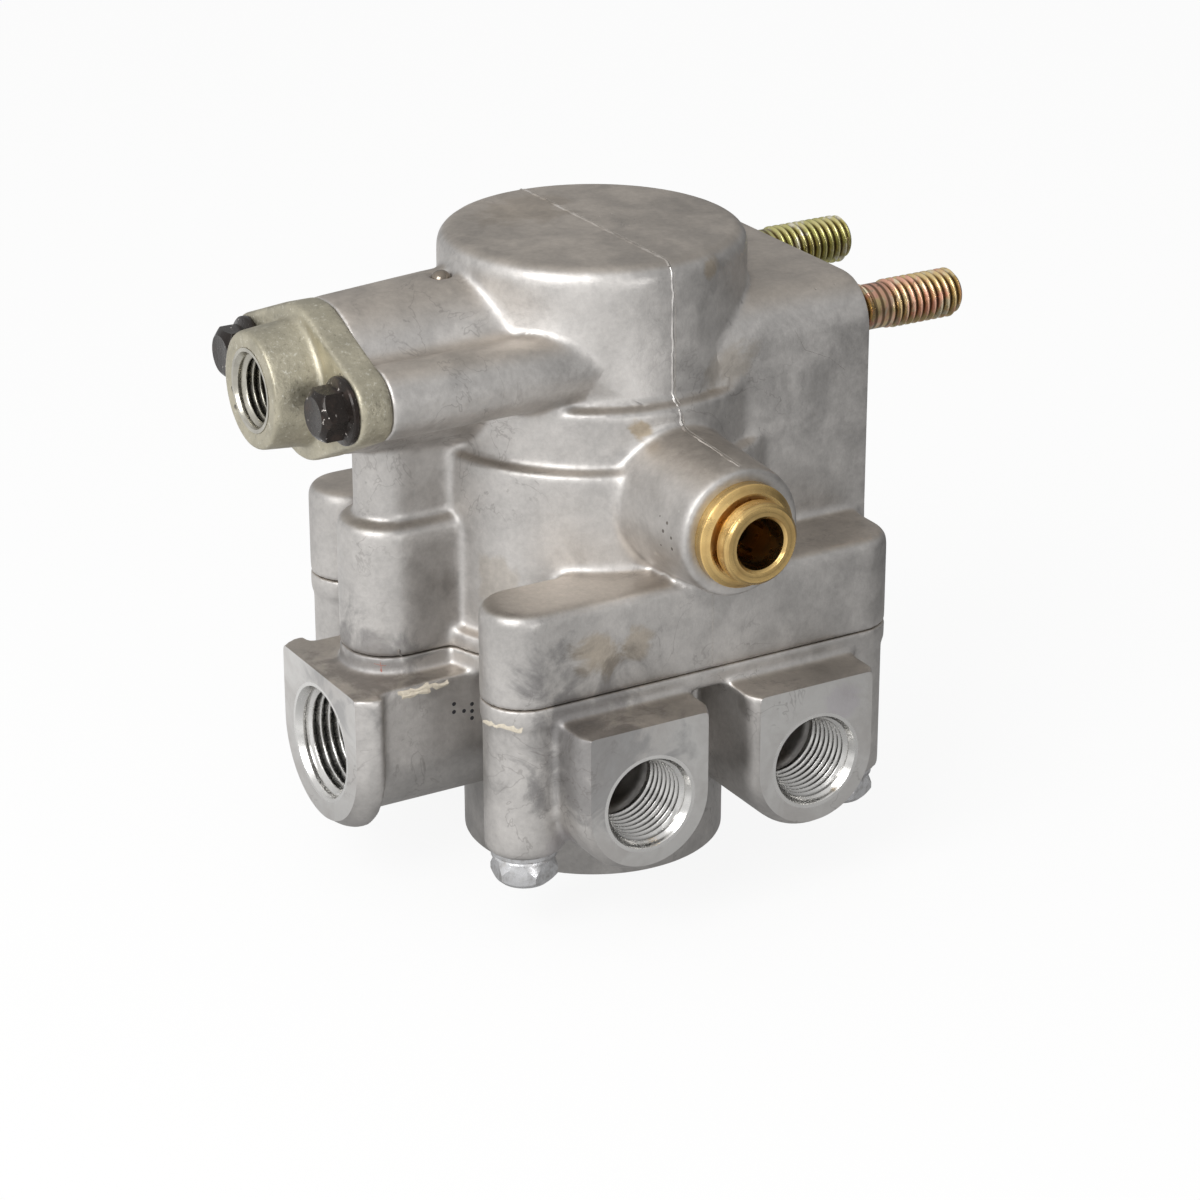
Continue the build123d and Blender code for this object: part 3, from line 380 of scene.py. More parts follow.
def plated_skin(settings):
    """Rough sintered steel under olive zinc plate, sparkling and chipped in spots."""
    g = Skin("adapter_plate")
    tint = tuple(settings.adapter)
    cloud = g.noise(140.0, 4.0, 0.6)
    base = g.mix(g.span(cloud, 0.3, 0.7), scaled(tint, 0.84), scaled(tint, 1.16))
    grain = g.noise(1300.0, 4.0, 0.75)
    base = g.mix(g.span(grain, 0.56, 0.70, 0.0, 0.65), base, (0.80, 0.79, 0.72))
    base = g.mix(g.span(grain, 0.44, 0.30, 0.0, 0.6), base, scaled(tint, 0.40))
    chips = g.times(g.span(g.cells(420.0), 0.30, 0.18), g.span(g.noise(75.0, 3.0), 0.59, 0.64))
    base = g.mix(g.times(chips, 0.8), base, (0.09, 0.085, 0.08))
    normal = g.bump(g.noise(330.0, 3.0), 0.00012)
    normal = g.bump(grain, 0.0001, normal)
    normal = g.bump(g.times(chips, -1.0), 0.0002, normal)
    return g.surface(
        Base_Color=base, Metallic=0.85, Roughness=g.span(grain, 0.2, 0.8, 0.34, 0.55), Normal=normal)


def black_skin(settings):
    """Glossy black finish with brown where it is thin and bare spots here and there."""
    g = Skin("black_bolt")
    thin = g.noise(300.0, 4.0, 0.65)
    base = g.mix(g.span(thin, 0.5, 0.75), tuple(settings.black), (0.045, 0.03, 0.024))
    base = g.mix(g.span(g.noise(1000.0, 3.0), 0.66, 0.72), base, (0.50, 0.46, 0.43))
    normal = g.bump(thin, 0.00016)
    normal = g.bump(g.noise(1100.0, 2.0), 0.00004, normal)
    return g.surface(
        Base_Color=base, Metallic=0.35, Roughness=g.span(thin, 0.3, 0.7, 0.20, 0.36), Normal=normal,
        Specular_IOR_Level=0.2, Coat_Weight=0.2, Coat_Roughness=0.06)


def zinc_skin(settings):
    """Bright zinc with clouded and worn patches."""
    g = Skin("zinc_bolt")
    cloud = g.noise(420.0, 5.0, 0.7)
    base = g.mix(g.span(cloud, 0.42, 0.7), tuple(settings.zinc), (0.40, 0.39, 0.38))
    base = g.mix(g.span(g.noise(240.0, 3.0), 0.6, 0.75, 0.0, 0.5), base, (0.52, 0.46, 0.36))
    normal = g.bump(cloud, 0.0001)
    rough = g.span(cloud, 0.3, 0.7, 0.25, 0.5)
    return g.surface(Base_Color=base, Metallic=0.9, Roughness=rough, Normal=normal)


def chromate_skin(name, tint, second, third):
    """Yellow chromate that turns pink and green in patches, with painted shade in its thread's grooves.
    """
    g = Skin(name)
    drift = g.noise(130.0, 3.0, 0.6, distortion=0.8)
    base = g.mix(g.span(drift, 0.40, 0.56), tint, second)
    base = g.mix(g.span(g.noise(210.0, 2.0, 0.5, distortion=1.0), 0.52, 0.66), base, third)
    base = g.mix(g.span(g.noise(700.0, 3.0), 0.60, 0.75, 0.0, 0.6), base, (0.16, 0.12, 0.08))
    # Painted shade: darker towards the root of each thread groove
    base = g.mix(g.span(g.groove(), 0.3, 0.9, 0.0, 0.85), base, (0.13, 0.085, 0.045))
    normal = g.bump(g.noise(1200.0, 3.0), 0.00004)
    rough = g.span(drift, 0.3, 0.7, 0.24, 0.4)
    return g.surface(Base_Color=base, Metallic=1.0, Roughness=rough, Normal=normal)


def brass_skin(settings):
    """Turned brass: streaks round its axis, tarnish in patches, painted shade inside its bore."""
    g = Skin("brass")
    tint = tuple(settings.brass)
    x, y, z = g.parts(g.place)
    up = g.math("SUBTRACT", z, MOUNTS["balance_port"]["pos_m"][2])
    radius = g.math("SQRT", g.math("ADD", g.times(x, x), g.times(up, up)))
    bore = (5.3 * MM, 4.7 * MM)
    lathe = g.node("CombineXYZ", X=radius, Y=y).outputs[0]
    streak = g.noise(1900.0, 3.0, 0.6, place=lathe)
    broad = g.noise(520.0, 2.0, 0.5, place=lathe)
    cloud = g.noise(210.0, 4.0, 0.6)
    base = g.mix(g.span(streak, 0.35, 0.65, 0.0, 0.45), tint, scaled(tint, 0.5))
    base = g.mix(g.span(broad, 0.45, 0.62, 0.0, 0.4), base, scaled(tint, 0.42))
    base = g.mix(g.span(cloud, 0.45, 0.75, 0.0, 0.45), base, (0.42, 0.25, 0.09))
    # Painted shade: darker inside the bore
    base = g.mix(g.span(radius, *bore), base, (0.46, 0.31, 0.12))
    normal = g.bump(streak, 0.00005)
    normal = g.bump(g.noise(900.0, 3.0), 0.00005, normal)
    rough = g.span(cloud, 0.3, 0.7, 0.20, 0.36)
    return g.surface(Base_Color=base, Metallic=1.0, Roughness=rough, Normal=normal)


def rubber_skin(settings):
    """Matte rubber with a fine bloom."""
    g = Skin("rubber")
    bloom = g.noise(350.0, 4.0)
    base = g.mix(g.span(bloom, 0.45, 0.75, 0.0, 0.4), tuple(settings.rubber), (0.09, 0.09, 0.09))
    return g.surface(
        Base_Color=base, Roughness=g.span(bloom, 0.3, 0.7, 0.5, 0.75), Normal=g.bump(bloom, 0.00005))


def plastic_skin(settings):
    """Moulded acetal."""
    g = Skin("acetal")
    cloud = g.noise(200.0, 3.0)
    tint = tuple(settings.plastic)
    base = g.mix(g.span(cloud, 0.3, 0.7), tint, scaled(tint, 0.9))
    return g.surface(
        Base_Color=base, Roughness=g.span(cloud, 0.3, 0.7, 0.35, 0.5), Normal=g.bump(cloud, 0.00002))


def blotched(name, dark, light, rough):
    """Small mark in one uneven colour, such as ink, dirt, a scratch or a strip of painted shadow."""
    g = Skin(name)
    blot = g.noise(1800.0, 2.0)
    base = g.mix(blot, dark, light)
    return g.surface(Base_Color=base, Roughness=g.span(blot, 0.3, 0.7, rough, rough + 0.15))


# MESHES


def linked(name, data):
    """New object in the scene."""
    made = bpy.data.objects.new(name, data)
    bpy.context.scene.collection.objects.link(made)
    return made


def new_piece(name, mesh, material, body="housing", replaces=()):
    """Put a finished mesh into the scene on its body."""
    piece = linked(name, mesh)
    mesh.materials.clear()
    mesh.materials.append(material)
    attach(piece, body)
    if replaces:
        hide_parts(*replaces)
    return piece


def built(name, points, faces):
    """New mesh from points and faces."""
    mesh = bpy.data.meshes.new(name)
    mesh.from_pydata(points, [], faces)
    return mesh


@contextmanager
def edited(mesh):
    """Open a mesh for edits, and write them back at the end."""
    bm = bmesh.new()
    bm.from_mesh(mesh)
    yield bm
    bm.to_mesh(mesh)
    bm.free()


def smooth(mesh, sharp=None):
    """Shade a mesh smooth, and its edges sharp where they turn by more than an angle in degrees."""
    mesh.polygons.foreach_set("use_smooth", [True] * len(mesh.polygons))
    if sharp:
        mesh.set_sharp_from_angle(angle=math.radians(sharp))


def polar(radius, angle, z):
    """Point at a radius and an angle round Z."""
    return Vector((radius * math.cos(angle), radius * math.sin(angle), z))


def basis(axis, origin):
    """Matrix that takes local Z to the axis and zero to the origin."""
    turn = Vector(axis).to_track_quat("Z", "Y").to_matrix().to_4x4()
    return Matrix.Translation(origin) @ turn


def band(first, second, count):
    """Faces between two closed rings of points, given by the number of their first points."""
    return [(first + j, first + (j + 1) % count, second + (j + 1) % count, second + j)
            for j in range(count)]


def caps(last, count):
    """Faces that close the first ring and the last one."""
    return [tuple(reversed(range(count))), tuple(last + j for j in range(count))]


def grid_mesh(name, rings, sharp):
    """Closed mesh from rings of points, which all have the same count."""
    count = len(rings[0])
    last = (len(rings) - 1) * count
    faces = []
    for first in range(0, last, count):
        faces += band(first, first + count, count)
    mesh = built(name, [p for ring in rings for p in ring], faces + caps(last, count))
    smooth(mesh, sharp)
    return mesh


def helix_mesh(
        name, matrix, start, end, pitch, turn, radius_at, segments, sleeve=(), plain=math.inf):
    """Tube along local Z whose rows of points follow a right-hand thread.

    turn gives the points of one turn as a share of the pitch and a height from 0 to 1, and
    radius_at(z, height) the radius, which at both ends is the same for any height.
    sleeve adds plain rings as radius and z, which close the tube on its outside.
    No grooves are marked where z is above plain."""
    steps = len(turn)
    rows = (math.ceil((end - start) / pitch) + 3) * steps
    points, heights = [], []
    for i in range(rows + 1):
        share, height = turn[i % steps]
        for j in range(segments):
            z = start + (i // steps + share + j / segments - 2.0) * pitch
            z = min(max(z, start), end)
            points.append(matrix @ polar(radius_at(z, height), math.tau * j / segments, z))
            heights.append(1.0 if z > plain else height)
    faces = []
    for i in range(rows):
        for j in range(segments):
            if j + 1 < segments:
                near, far = i * segments + j + 1, (i + 1) * segments + j + 1
            else:
                near, far = min(i + steps, rows) * segments, min(i + 1 + steps, rows) * segments
            faces.append((i * segments + j, near, far, (i + 1) * segments + j))
    last = rows * segments
    if sleeve:
        first = last
        for r, z in sleeve:
            here = len(points)
            points += [matrix @ polar(r, math.tau * j / segments, z) for j in range(segments)]
            heights += [1.0] * segments
            faces += band(first, here, segments)
            first = here
        faces += band(first, 0, segments)
    else:
        faces += caps(last, segments)
    mesh = built(name, points, faces)
    mesh.attributes.new(GROOVE, "FLOAT", "POINT").data.foreach_set("value", [1.0 - h for h in heights])
    with edited(mesh) as bm:
        bmesh.ops.remove_doubles(bm, verts=bm.verts, dist=FINE_WELD)
        bmesh.ops.dissolve_degenerate(bm, edges=bm.edges, dist=FINE_WELD)
        bmesh.ops.recalc_face_normals(bm, faces=bm.faces)
    smooth(mesh, 50)
    return mesh


def open_mouths(bm, ports, wider):
    """Widen the holes of threaded ports at their faces, for the countersunk mouths."""
    for port in ports:
        middle, axis = Vector(port["pos_m"]), Vector(port["axis"])
        radius = port["dims"]["r_mm"] * MM
        for vert in bm.verts:
            away = vert.co - middle
            across = away - axis * away.dot(axis)
            if abs(away.dot(axis)) < NEAR and abs(across.length - radius) < 5 * NEAR:
                vert.co += across.normalized() * wider


def softened(node, name, cell, passes, hold, deep, cuts=(), ports=(), trim=None):
    """Closed mesh of a CAD node with rounded edges; hold says where it stays sharp.

    The node's mesh is rebuilt in even cells, smoothed, and thinned where it is deep inside.
    Machined faces, given as axis, level and side, first stand proud and are then cut flat.
    trim lowers what stands above a level on the left of a place."""
    mesh = NODES[node].data.copy()
    shape = linked(name, mesh)
    with edited(mesh) as bm:
        bmesh.ops.remove_doubles(bm, verts=bm.verts, dist=WELD)
        open_mouths(bm, ports, MOUTH_ROOM)
        if trim:
            for vert in bm.verts:
                if vert.co.x < trim[0] and vert.co.z > trim[1]:
                    vert.co.z = trim[1]
        for axis, level, side in cuts:
            for vert in bm.verts:
                if abs(vert.co[axis] - level) < NEAR:
                    vert.co[axis] += side * STOCK
    remesh = shape.modifiers.new("cells", "REMESH")
    remesh.mode = "VOXEL"
    remesh.voxel_size = cell
    applied(shape)
    place = rounded(shape.data, passes, hold)
    inner = shape.vertex_groups.new(name="deep")
    for index in np.nonzero(deep(place))[0]:
        inner.add([int(index)], 1.0, "REPLACE")
    thin = shape.modifiers.new("thin", "DECIMATE")
    thin.ratio = 0.6
    thin.vertex_group = inner.name
    thin.vertex_group_factor = 10.0
    applied(shape)
    mesh = shape.data
    for cut in cuts:
        cut_flat(mesh, *cut)
    smooth(mesh)
    bpy.data.objects.remove(shape)
    return mesh


def rounded(mesh, passes, hold):
    """Draw each point of a mesh towards its neighbours, and return the new places.

    hold gives the share of its move, from 0 to 1, that each point doesn't make."""
    count = len(mesh.vertices)
    place = np.empty(count * 3)
    mesh.vertices.foreach_get("co", place)
    place = place.reshape(-1, 3)
    ends = np.empty(len(mesh.edges) * 2, int)
    mesh.edges.foreach_get("vertices", ends)
    ends = ends.reshape(-1, 2)
    degree = np.bincount(ends.ravel(), minlength=count)[:, None]
    pull = 0.5 * (1.0 - hold(place))[:, None]
    for _ in range(passes):
        total = np.zeros_like(place)
        for axis in range(3):
            total[:, axis] = np.bincount(ends[:, 0], place[ends[:, 1], axis], count)
            total[:, axis] += np.bincount(ends[:, 1], place[ends[:, 0], axis], count)
        place += pull * (total / degree - place)
    mesh.vertices.foreach_set("co", place.ravel())
    return place


def cut_flat(mesh, axis, level, side):
    """Cut a mesh at a plane, close it there and keep the new edge sharp."""
    place, normal = Vector(), Vector()
    place[axis], normal[axis] = level, side
    with edited(mesh) as bm:
        everything = bm.verts[:] + bm.edges[:] + bm.faces[:]
        bmesh.ops.bisect_plane(
            bm, geom=everything, dist=FINE_WELD, plane_co=place, plane_no=normal, clear_outer=True)
        rim = [edge for edge in bm.edges if edge.is_boundary]
        bmesh.ops.triangle_fill(bm, edges=rim, normal=normal, use_beauty=True)
        for edge in rim:
            edge.smooth = False


def near_axis(place, radius, low, high):
    """Which points lie near the main axis, between two levels."""
    x, y, z = place.T
    return (np.hypot(x, y) < radius) & (z > low) & (z < high)


def inside(place, box):
    """Which points lie inside a box."""
    return np.all((place > box[0]) & (place < box[1]), axis=1)


def applied(shape):
    """Bake an object's modifiers into its mesh."""
    graph = bpy.context.evaluated_depsgraph_get()
    made = bpy.data.meshes.new_from_object(shape.evaluated_get(graph))
    shape.modifiers.clear()
    shape.data = made


# PLACES TAKEN FROM THE PHOTOGRAPH


def camera_axes():
    """Right, up and back of the photograph's camera."""
    flat = math.cos(CAMERA_ELEVATION)
    back = Vector((
        -math.sin(CAMERA_AZIMUTH) * flat, -math.cos(CAMERA_AZIMUTH) * flat, math.sin(CAMERA_ELEVATION)))
    right = Vector((0, 0, 1)).cross(back).normalized()
    up = back.cross(right)
    roll = Matrix.Rotation(CAMERA_ROLL, 3, back)
    return roll @ right, roll @ up, back


def seen(pixel, tree):
    """Where the photograph's ray through a pixel meets a surface, and its normal there."""
    right, up, back = camera_axes()
    u, v = pixel
    ray = right * (u - PHOTO_CENTRE[0]) - up * (v - PHOTO_CENTRE[1]) - back * PHOTO_FOCAL
    place, normal, _, _ = tree.ray_cast(CAMERA_PLACE, ray.normalized())
    if place is None:
        raise ValueError(f"nothing is seen at pixel {pixel}")
    return place, normal


def surface_tree(*names):
    """Search tree over shown pieces."""
    points, faces = [], []
    for name in names:
        mesh = bpy.data.objects[name].data
        first = len(points)
        points += [v.co.copy() for v in mesh.vertices]
        faces += [[first + i for i in p.vertices] for p in mesh.polygons]
    return BVHTree.FromPolygons(points, faces)


def cad_tree(*nodes):
    """Search tree over CAD nodes."""
    return surface_tree(*(NODES[n].name for n in nodes))


# Stains, and two grey patches of painted shade on a delivery port's face and on the supply boss: pixel,
# radius in metres, tint and depth
TAN = (0.86, 0.74, 0.56)
PURPLE = (0.84, 0.80, 0.88)
PAINTED_SHADE = (0.64, 0.64, 0.65)
STAIN_AND_SHADE_PIXELS = (
    ((595, 655), 5.5 * MM, TAN, 0.55),
    ((638, 642), 3.5 * MM, TAN, 0.5),
    ((641, 430), 2.2 * MM, TAN, 0.8),
    ((711, 268), 2.4 * MM, TAN, 0.6),
    ((728, 362), 6.0 * MM, TAN, 0.3),
    ((500, 580), 6.0 * MM, TAN, 0.25),
    ((845, 700), 4.0 * MM, PURPLE, 0.5),
    # These two grey patches are painted shade
    ((590, 750), 19.0 * MM, PAINTED_SHADE, 1.0),
    ((360, 668), 13.0 * MM, PAINTED_SHADE, 0.9),
    ((560, 850), 7.0 * MM, PURPLE, 0.3),
    ((520, 210), 12.0 * MM, TAN, 0.2),
)


INK_DOTS = ((454, 704), (454, 712), (464, 711), (472, 704), (472, 711), (472, 718))
BOSS_PITS = ((660, 516), (667, 523), (663, 531), (671, 538), (661, 545), (672, 549))
ADAPTER_CHIPS = ((247, 322), (340, 374))
# Lines on the photograph: name, pixels of each line, width, height and finish
MARK_LINES = (
    ("corner_flash", (((484, 722), (500, 727), (522, 731)),), 1.7 * MM, 0.25 * MM, "flash"),
    ("neck_flash", (((398, 694), (424, 688), (448, 683)), ((402, 697), (430, 690))),
     1.4 * MM, 0.3 * MM, "flash"),
    ("step_burr", (((398, 650), (401, 656)),), 1.0 * MM, 0.3 * MM, "skin"),
    ("bracket_crack", (((795, 330), (805, 350), (830, 358), (845, 370)),),
     0.3 * MM, 0.02 * MM, "dirt"),
    ("red_mark", (((374, 664), (386, 666)), ((380, 660), (382, 672))), 0.9 * MM, 0.02 * MM, "red"),
    ("neck_scratch", (((360, 751), (372, 750)),), 0.3 * MM, 0.02 * MM, "dirt"),
)


# OPERATORS


class VALVE_OT_castings(bpy.types.Operator):
    """Rounds the edges of the two castings and gives them their cast skin"""

    bl_idname = "valve.castings"
    bl_label = "Castings"

    def execute(self, context):
        sizes = context.scene.valve_sizes
        low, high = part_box("lower_body")
        joint = high.z
        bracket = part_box("upper_body")[1].x
        tube_end = MOUNTS["control_port"]["pos_m"][0] + ADAPTER_LENGTH
        boss_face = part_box("upper_body")[0].y
        side_face = MOUNTS["delivery_port_3"]["pos_m"][1]
        supply = MOUNTS["supply_port"]["pos_m"][0]
        tree = cad_tree("upper_body", "lower_body")
        stains_and_shade = [(tuple(seen(pixel, tree)[0]), r, tint, depth)
                  for pixel, r, tint, depth in STAIN_AND_SHADE_PIXELS]
        lower_faces = [(1, -side_face, -1.0), (1, side_face, 1.0), (0, supply, -1.0), (2, low.z, -1.0)]
        upper_faces = [(0, bracket, 1.0)]
        ports = [m for n, m in MOUNTS.items() if n.startswith("delivery") or n == "supply_port"]
        skin = cast_skin(context.scene.valve_colours, stains_and_shade, lower_faces + upper_faces)
        apart = 1 * MM
        joint_half, soft, firm = 0.5 * MM, 0.55, 0.9

        def near_joint(place):
            return np.clip(2.0 - np.abs(place[:, 2] - joint) / joint_half, soft, firm)

        def upper_hold(place):
            hold = near_joint(place)
            hold[inside(place, TUBE_ROOT) | inside(place, BOSS_ROOT)] = 0.0
            hold[near_axis(place, RELAY_BORE[0], -math.inf, RELAY_BORE[1])] = 1.0
            hold[place[:, 0] < tube_end + 0.4 * MM] = 0.9
            hold[place[:, 1] < boss_face + 0.3 * MM] = 0.85
            return hold

        def upper_deep(place):
            return near_axis(place, UPPER_INSIDE[0], joint + apart, UPPER_INSIDE[1])

        def lower_deep(place):
            return near_axis(place, LOWER_INSIDE[0], LOWER_INSIDE[1], joint - apart)

        boss_top = (supply + BOSS_LENGTH, joint - BOSS_DROP)
        for node, hold, deep, cuts, trim in (
            ("upper_body", upper_hold, upper_deep, upper_faces, None),
            ("lower_body", near_joint, lower_deep, lower_faces, boss_top),
        ):
            name = node + "_cast"
            mesh = softened(
                node, name, sizes.casting_cell, sizes.casting_passes, hold, deep, cuts, ports, trim)
            new_piece(name, mesh, skin, replaces=[node])
        return {"FINISHED"}


class VALVE_OT_port_threads(bpy.types.Operator):
    """Cuts the taper threads of the supply, delivery and control ports"""

    bl_idname = "valve.port_threads"
    bl_label = "Port threads"

    def execute(self, context):
        sizes = context.scene.valve_sizes
        tint = tuple(context.scene.valve_colours.machined)
        aluminium = cut_metal(
            "thread_aluminium", tint, roughness=0.24, ring_pitch=0.5 * MM, grime=0.12, shaded_grooves=True)
        plated = cut_metal(
            "thread_plated", (0.50, 0.48, 0.42), roughness=0.28, ring_pitch=0.5 * MM, grime=0.4,
            shaded_grooves=True)
        for name, mount in MOUNTS.items():
            if mount["kind"] != "threaded_hole":
                continue
            pitch = sizes.supply_pitch if name == "supply_port" else sizes.delivery_pitch
            control = name == "control_port"
            mesh = port_thread(
                name + "_thread", mount["pos_m"], mount["axis"],
                mount["dims"]["r_mm"] * MM, mount["dims"]["length_mm"] * MM, pitch)
            new_piece(
                name + "_thread", mesh, plated if control else aluminium)
        return {"FINISHED"}


def port_thread(name, origin, axis, radius, depth, pitch):
    """Taper pipe thread as a lining of its hole, with a countersunk mouth."""
    taper = 1 / 32
    height = 0.66 * pitch
    sink = 1.4 * pitch
    mouth = radius + MOUTH_CONE
    lip = mouth + 0.7 * MM
    wall = radius + 0.15 * MM
    floor = -depth + 0.1 * MM
    turn = ((0.08, 0.0), (0.40, 0.9), (0.46, 1.0), (0.54, 1.0), (0.60, 0.9), (0.92, 0.0))

    def radius_at(z, crest):
        rise = min(1.0, (z - floor) / pitch)
        thread = radius + z * taper - height * crest * rise
        if z > -sink:
            thread = max(thread, mouth + (z / sink) * (mouth - radius + height))
        return thread

    sleeve = ((lip, 0.015 * MM), (lip, -0.3 * MM), (wall, floor + 1.0 * MM), (wall, floor))
    return helix_mesh(
        name, basis(axis, origin), floor, 0.0, pitch, turn, radius_at, segments=120, sleeve=sleeve,
        plain=-sink)


class VALVE_OT_studs(bpy.types.Operator):
    """Threads the two mounting studs and gives each its chromate colour"""

    bl_idname = "valve.studs"
    bl_label = "Mounting studs"

    def execute(self, context):
        sizes = context.scene.valve_sizes
        tint = tuple(context.scene.valve_colours.chromate)
        pink = chromate_skin("chromate_pink", tint, (0.78, 0.44, 0.32), (0.80, 0.72, 0.52))
        green = chromate_skin(
            "chromate_green", (0.62, 0.56, 0.26), (0.52, 0.50, 0.20), (0.78, 0.74, 0.60))
        low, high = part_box("mounting_studs")
        mount = MOUNTS["mounting_studs"]
        x, _, z = mount["pos_m"]
        radius = mount["dims"]["stud_r_mm"] * MM
        spacing = mount["dims"]["spacing_x_mm"] * MM
        for side, material in ((-1, pink), (1, green)):
            name = "stud_front" if side < 0 else "stud_back"
            end = high.x if side > 0 else high.x - FRONT_SHORTER
            middle = Vector((0, side * spacing / 2, z))
            mesh = stud_mesh(name, middle, low.x, x, end, radius, sizes.stud_pitch)
            piece = new_piece(name, mesh, material)
            if side < 0:
                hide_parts("mounting_studs")
        return {"FINISHED"}


def stud_mesh(name, middle, start, face, end, radius, pitch):
    """Double-ended stud along X: a sunk core, a short thread, a smooth shank and the long thread."""
    depth = 0.62 * pitch
    tip = 1.0 * MM
    core = 4.3 * MM
    core_end = face - 0.8 * MM
    shank = 4.38 * MM
    shank_start = face + 3.7 * MM
    shank_end = face + 7.7 * MM
    fade = 0.5 * pitch
    turn = ((0.08, 0.0), (0.36, 0.85), (0.44, 1.0), (0.56, 1.0), (0.64, 0.85), (0.92, 0.0))

    def radius_at(x, crest):
        if x < core_end:
            return core
        away = max(shank_start - x, x - shank_end)
        share = min(1.0, max(0.0, away / fade))
        r = shank + (radius - depth * (1.0 - crest) - shank) * share
        return min(r, radius - tip + (end - x))

    matrix = Matrix.Translation(middle) @ Matrix.Rotation(math.pi / 2, 4, "Y")
    return helix_mesh(name, matrix, start, end, pitch, turn, radius_at, segments=88)


class VALVE_OT_bolts(bpy.types.Operator):
    """Makes the flange bolts of the adapter and of the lower casting"""

    bl_idname = "valve.bolts"
    bl_label = "Flange bolts"

    def execute(self, context):
        sizes = context.scene.valve_sizes
        colours = context.scene.valve_colours
        zinc = zinc_skin(colours)
        black = black_skin(colours)
        jobs = []
        low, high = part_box("body_bolts")
        flange = 6.3 * MM
        head = 6.9 * MM
        turn = 1.26
        under = 2.2
        for i, (sx, sy) in enumerate(((-1, -1), (1, -1), (-1, 1), (1, 1)), 1):
            seat = ((high.x - flange) * sx, (high.y - flange) * sy, low.z + head)
            jobs.append((
                f"body_bolt_{i}", seat, (0, 0, -1), sizes.body_hexagon, head, turn + i, under, zinc,
                "body_bolts", "zinc_bolt"))
        low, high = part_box("adapter_bolts")
        head = 6.2 * MM
        for i, side in enumerate((-1, 1), 1):
            seat = (low.x + head, side * (high.y - flange), (low.z + high.z) / 2)
            jobs.append((
                f"adapter_bolt_{i}", seat, (-1, 0, 0), sizes.adapter_hexagon, head, math.pi / 6, 0.0,
                black, "adapter_bolts", "black_bolt"))
        done = set()
        for name, seat, axis, width, head, turn, under, material, node, slot in jobs:
            mesh = flange_bolt_mesh(name, seat, axis, width / 2, head, flange, turn, under)
            piece = new_piece(name, mesh, material)
            if node not in done:
                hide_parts(node)
                done.add(node)
        return {"FINISHED"}


def flange_bolt_mesh(name, seat, axis, flat, head, flange, turn, under):
    """Head, flange and visible shank of a hexagon flange bolt, from its seat outwards.

    under is the slope of the chamfer between the flange and the hexagon, 0 for none."""
    matrix = basis(axis, seat) @ Matrix.Rotation(turn, 4, "Z")
    flange_t = 1.5 * MM
    edge = 0.3 * MM
    soft = 0.25 * MM
    shank = 3.1 * MM
    shank_length = 11 * MM
    crown_r = 0.86 * flat
    foot_r = 0.95 * flat
    chamfer = math.tan(math.radians(38))
    segments = 96
    angles = [math.tau * j / segments for j in range(segments)]

    def ring(radius, z):
        return [matrix @ polar(radius, a, z) for a in angles]

    def hexagon(a):
        return flat / math.cos((a + math.pi / 6) % (math.pi / 3) - math.pi / 6)

    rings = [ring(shank, -shank_length), ring(shank, 0.0), ring(flange - edge, 0.0),
             ring(flange, 0.5 * edge), ring(flange, 0.55 * flange_t),
             ring(flange - soft, 0.75 * flange_t), ring(1.12 * flat, flange_t)]
    if under:
        rings.append(ring(foot_r, flange_t + 0.05 * MM))
    foot, side, top, crown = [], [], [], []
    for a in angles:
        r = hexagon(a)
        fall = (r - crown_r) * chamfer + soft
        rise = under * (r - foot_r) + 0.15 * MM
        foot.append(matrix @ polar(r, a, flange_t + rise))
        side.append(matrix @ polar(r, a, head - fall - 0.3 * soft))
        top.append(matrix @ polar(r - 0.4 * soft, a, head - fall + 0.3 * soft))
        crown.append(matrix @ polar(crown_r - 0.1 * soft, a, head - 0.5 * soft))
    rings += [foot, side, top, crown, ring(crown_r - 1.2 * soft, head),
              ring(0.3 * flat, head - 0.1 * MM)]
    return grid_mesh(name, rings, sharp=26)


class VALVE_OT_adapter(bpy.types.Operator):
    """Softens the control adapter and gives it its rough olive plating"""

    bl_idname = "valve.adapter"
    bl_label = "Control adapter"

    def execute(self, context):
        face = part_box("control_adapter")[0].x

        def hold(place):
            return np.where(place[:, 0] < face + 0.25 * MM, 0.85, 0.0)

        def deep(place):
            return place[:, 0] > face + 16 * MM

        mesh = softened(
            "control_adapter", "adapter_plated", cell=0.42 * MM, passes=3, hold=hold, deep=deep,
            ports=[MOUNTS["control_port"]])
        new_piece(
            "adapter_plated", mesh, plated_skin(context.scene.valve_colours),
            replaces=["control_adapter"])
        return {"FINISHED"}


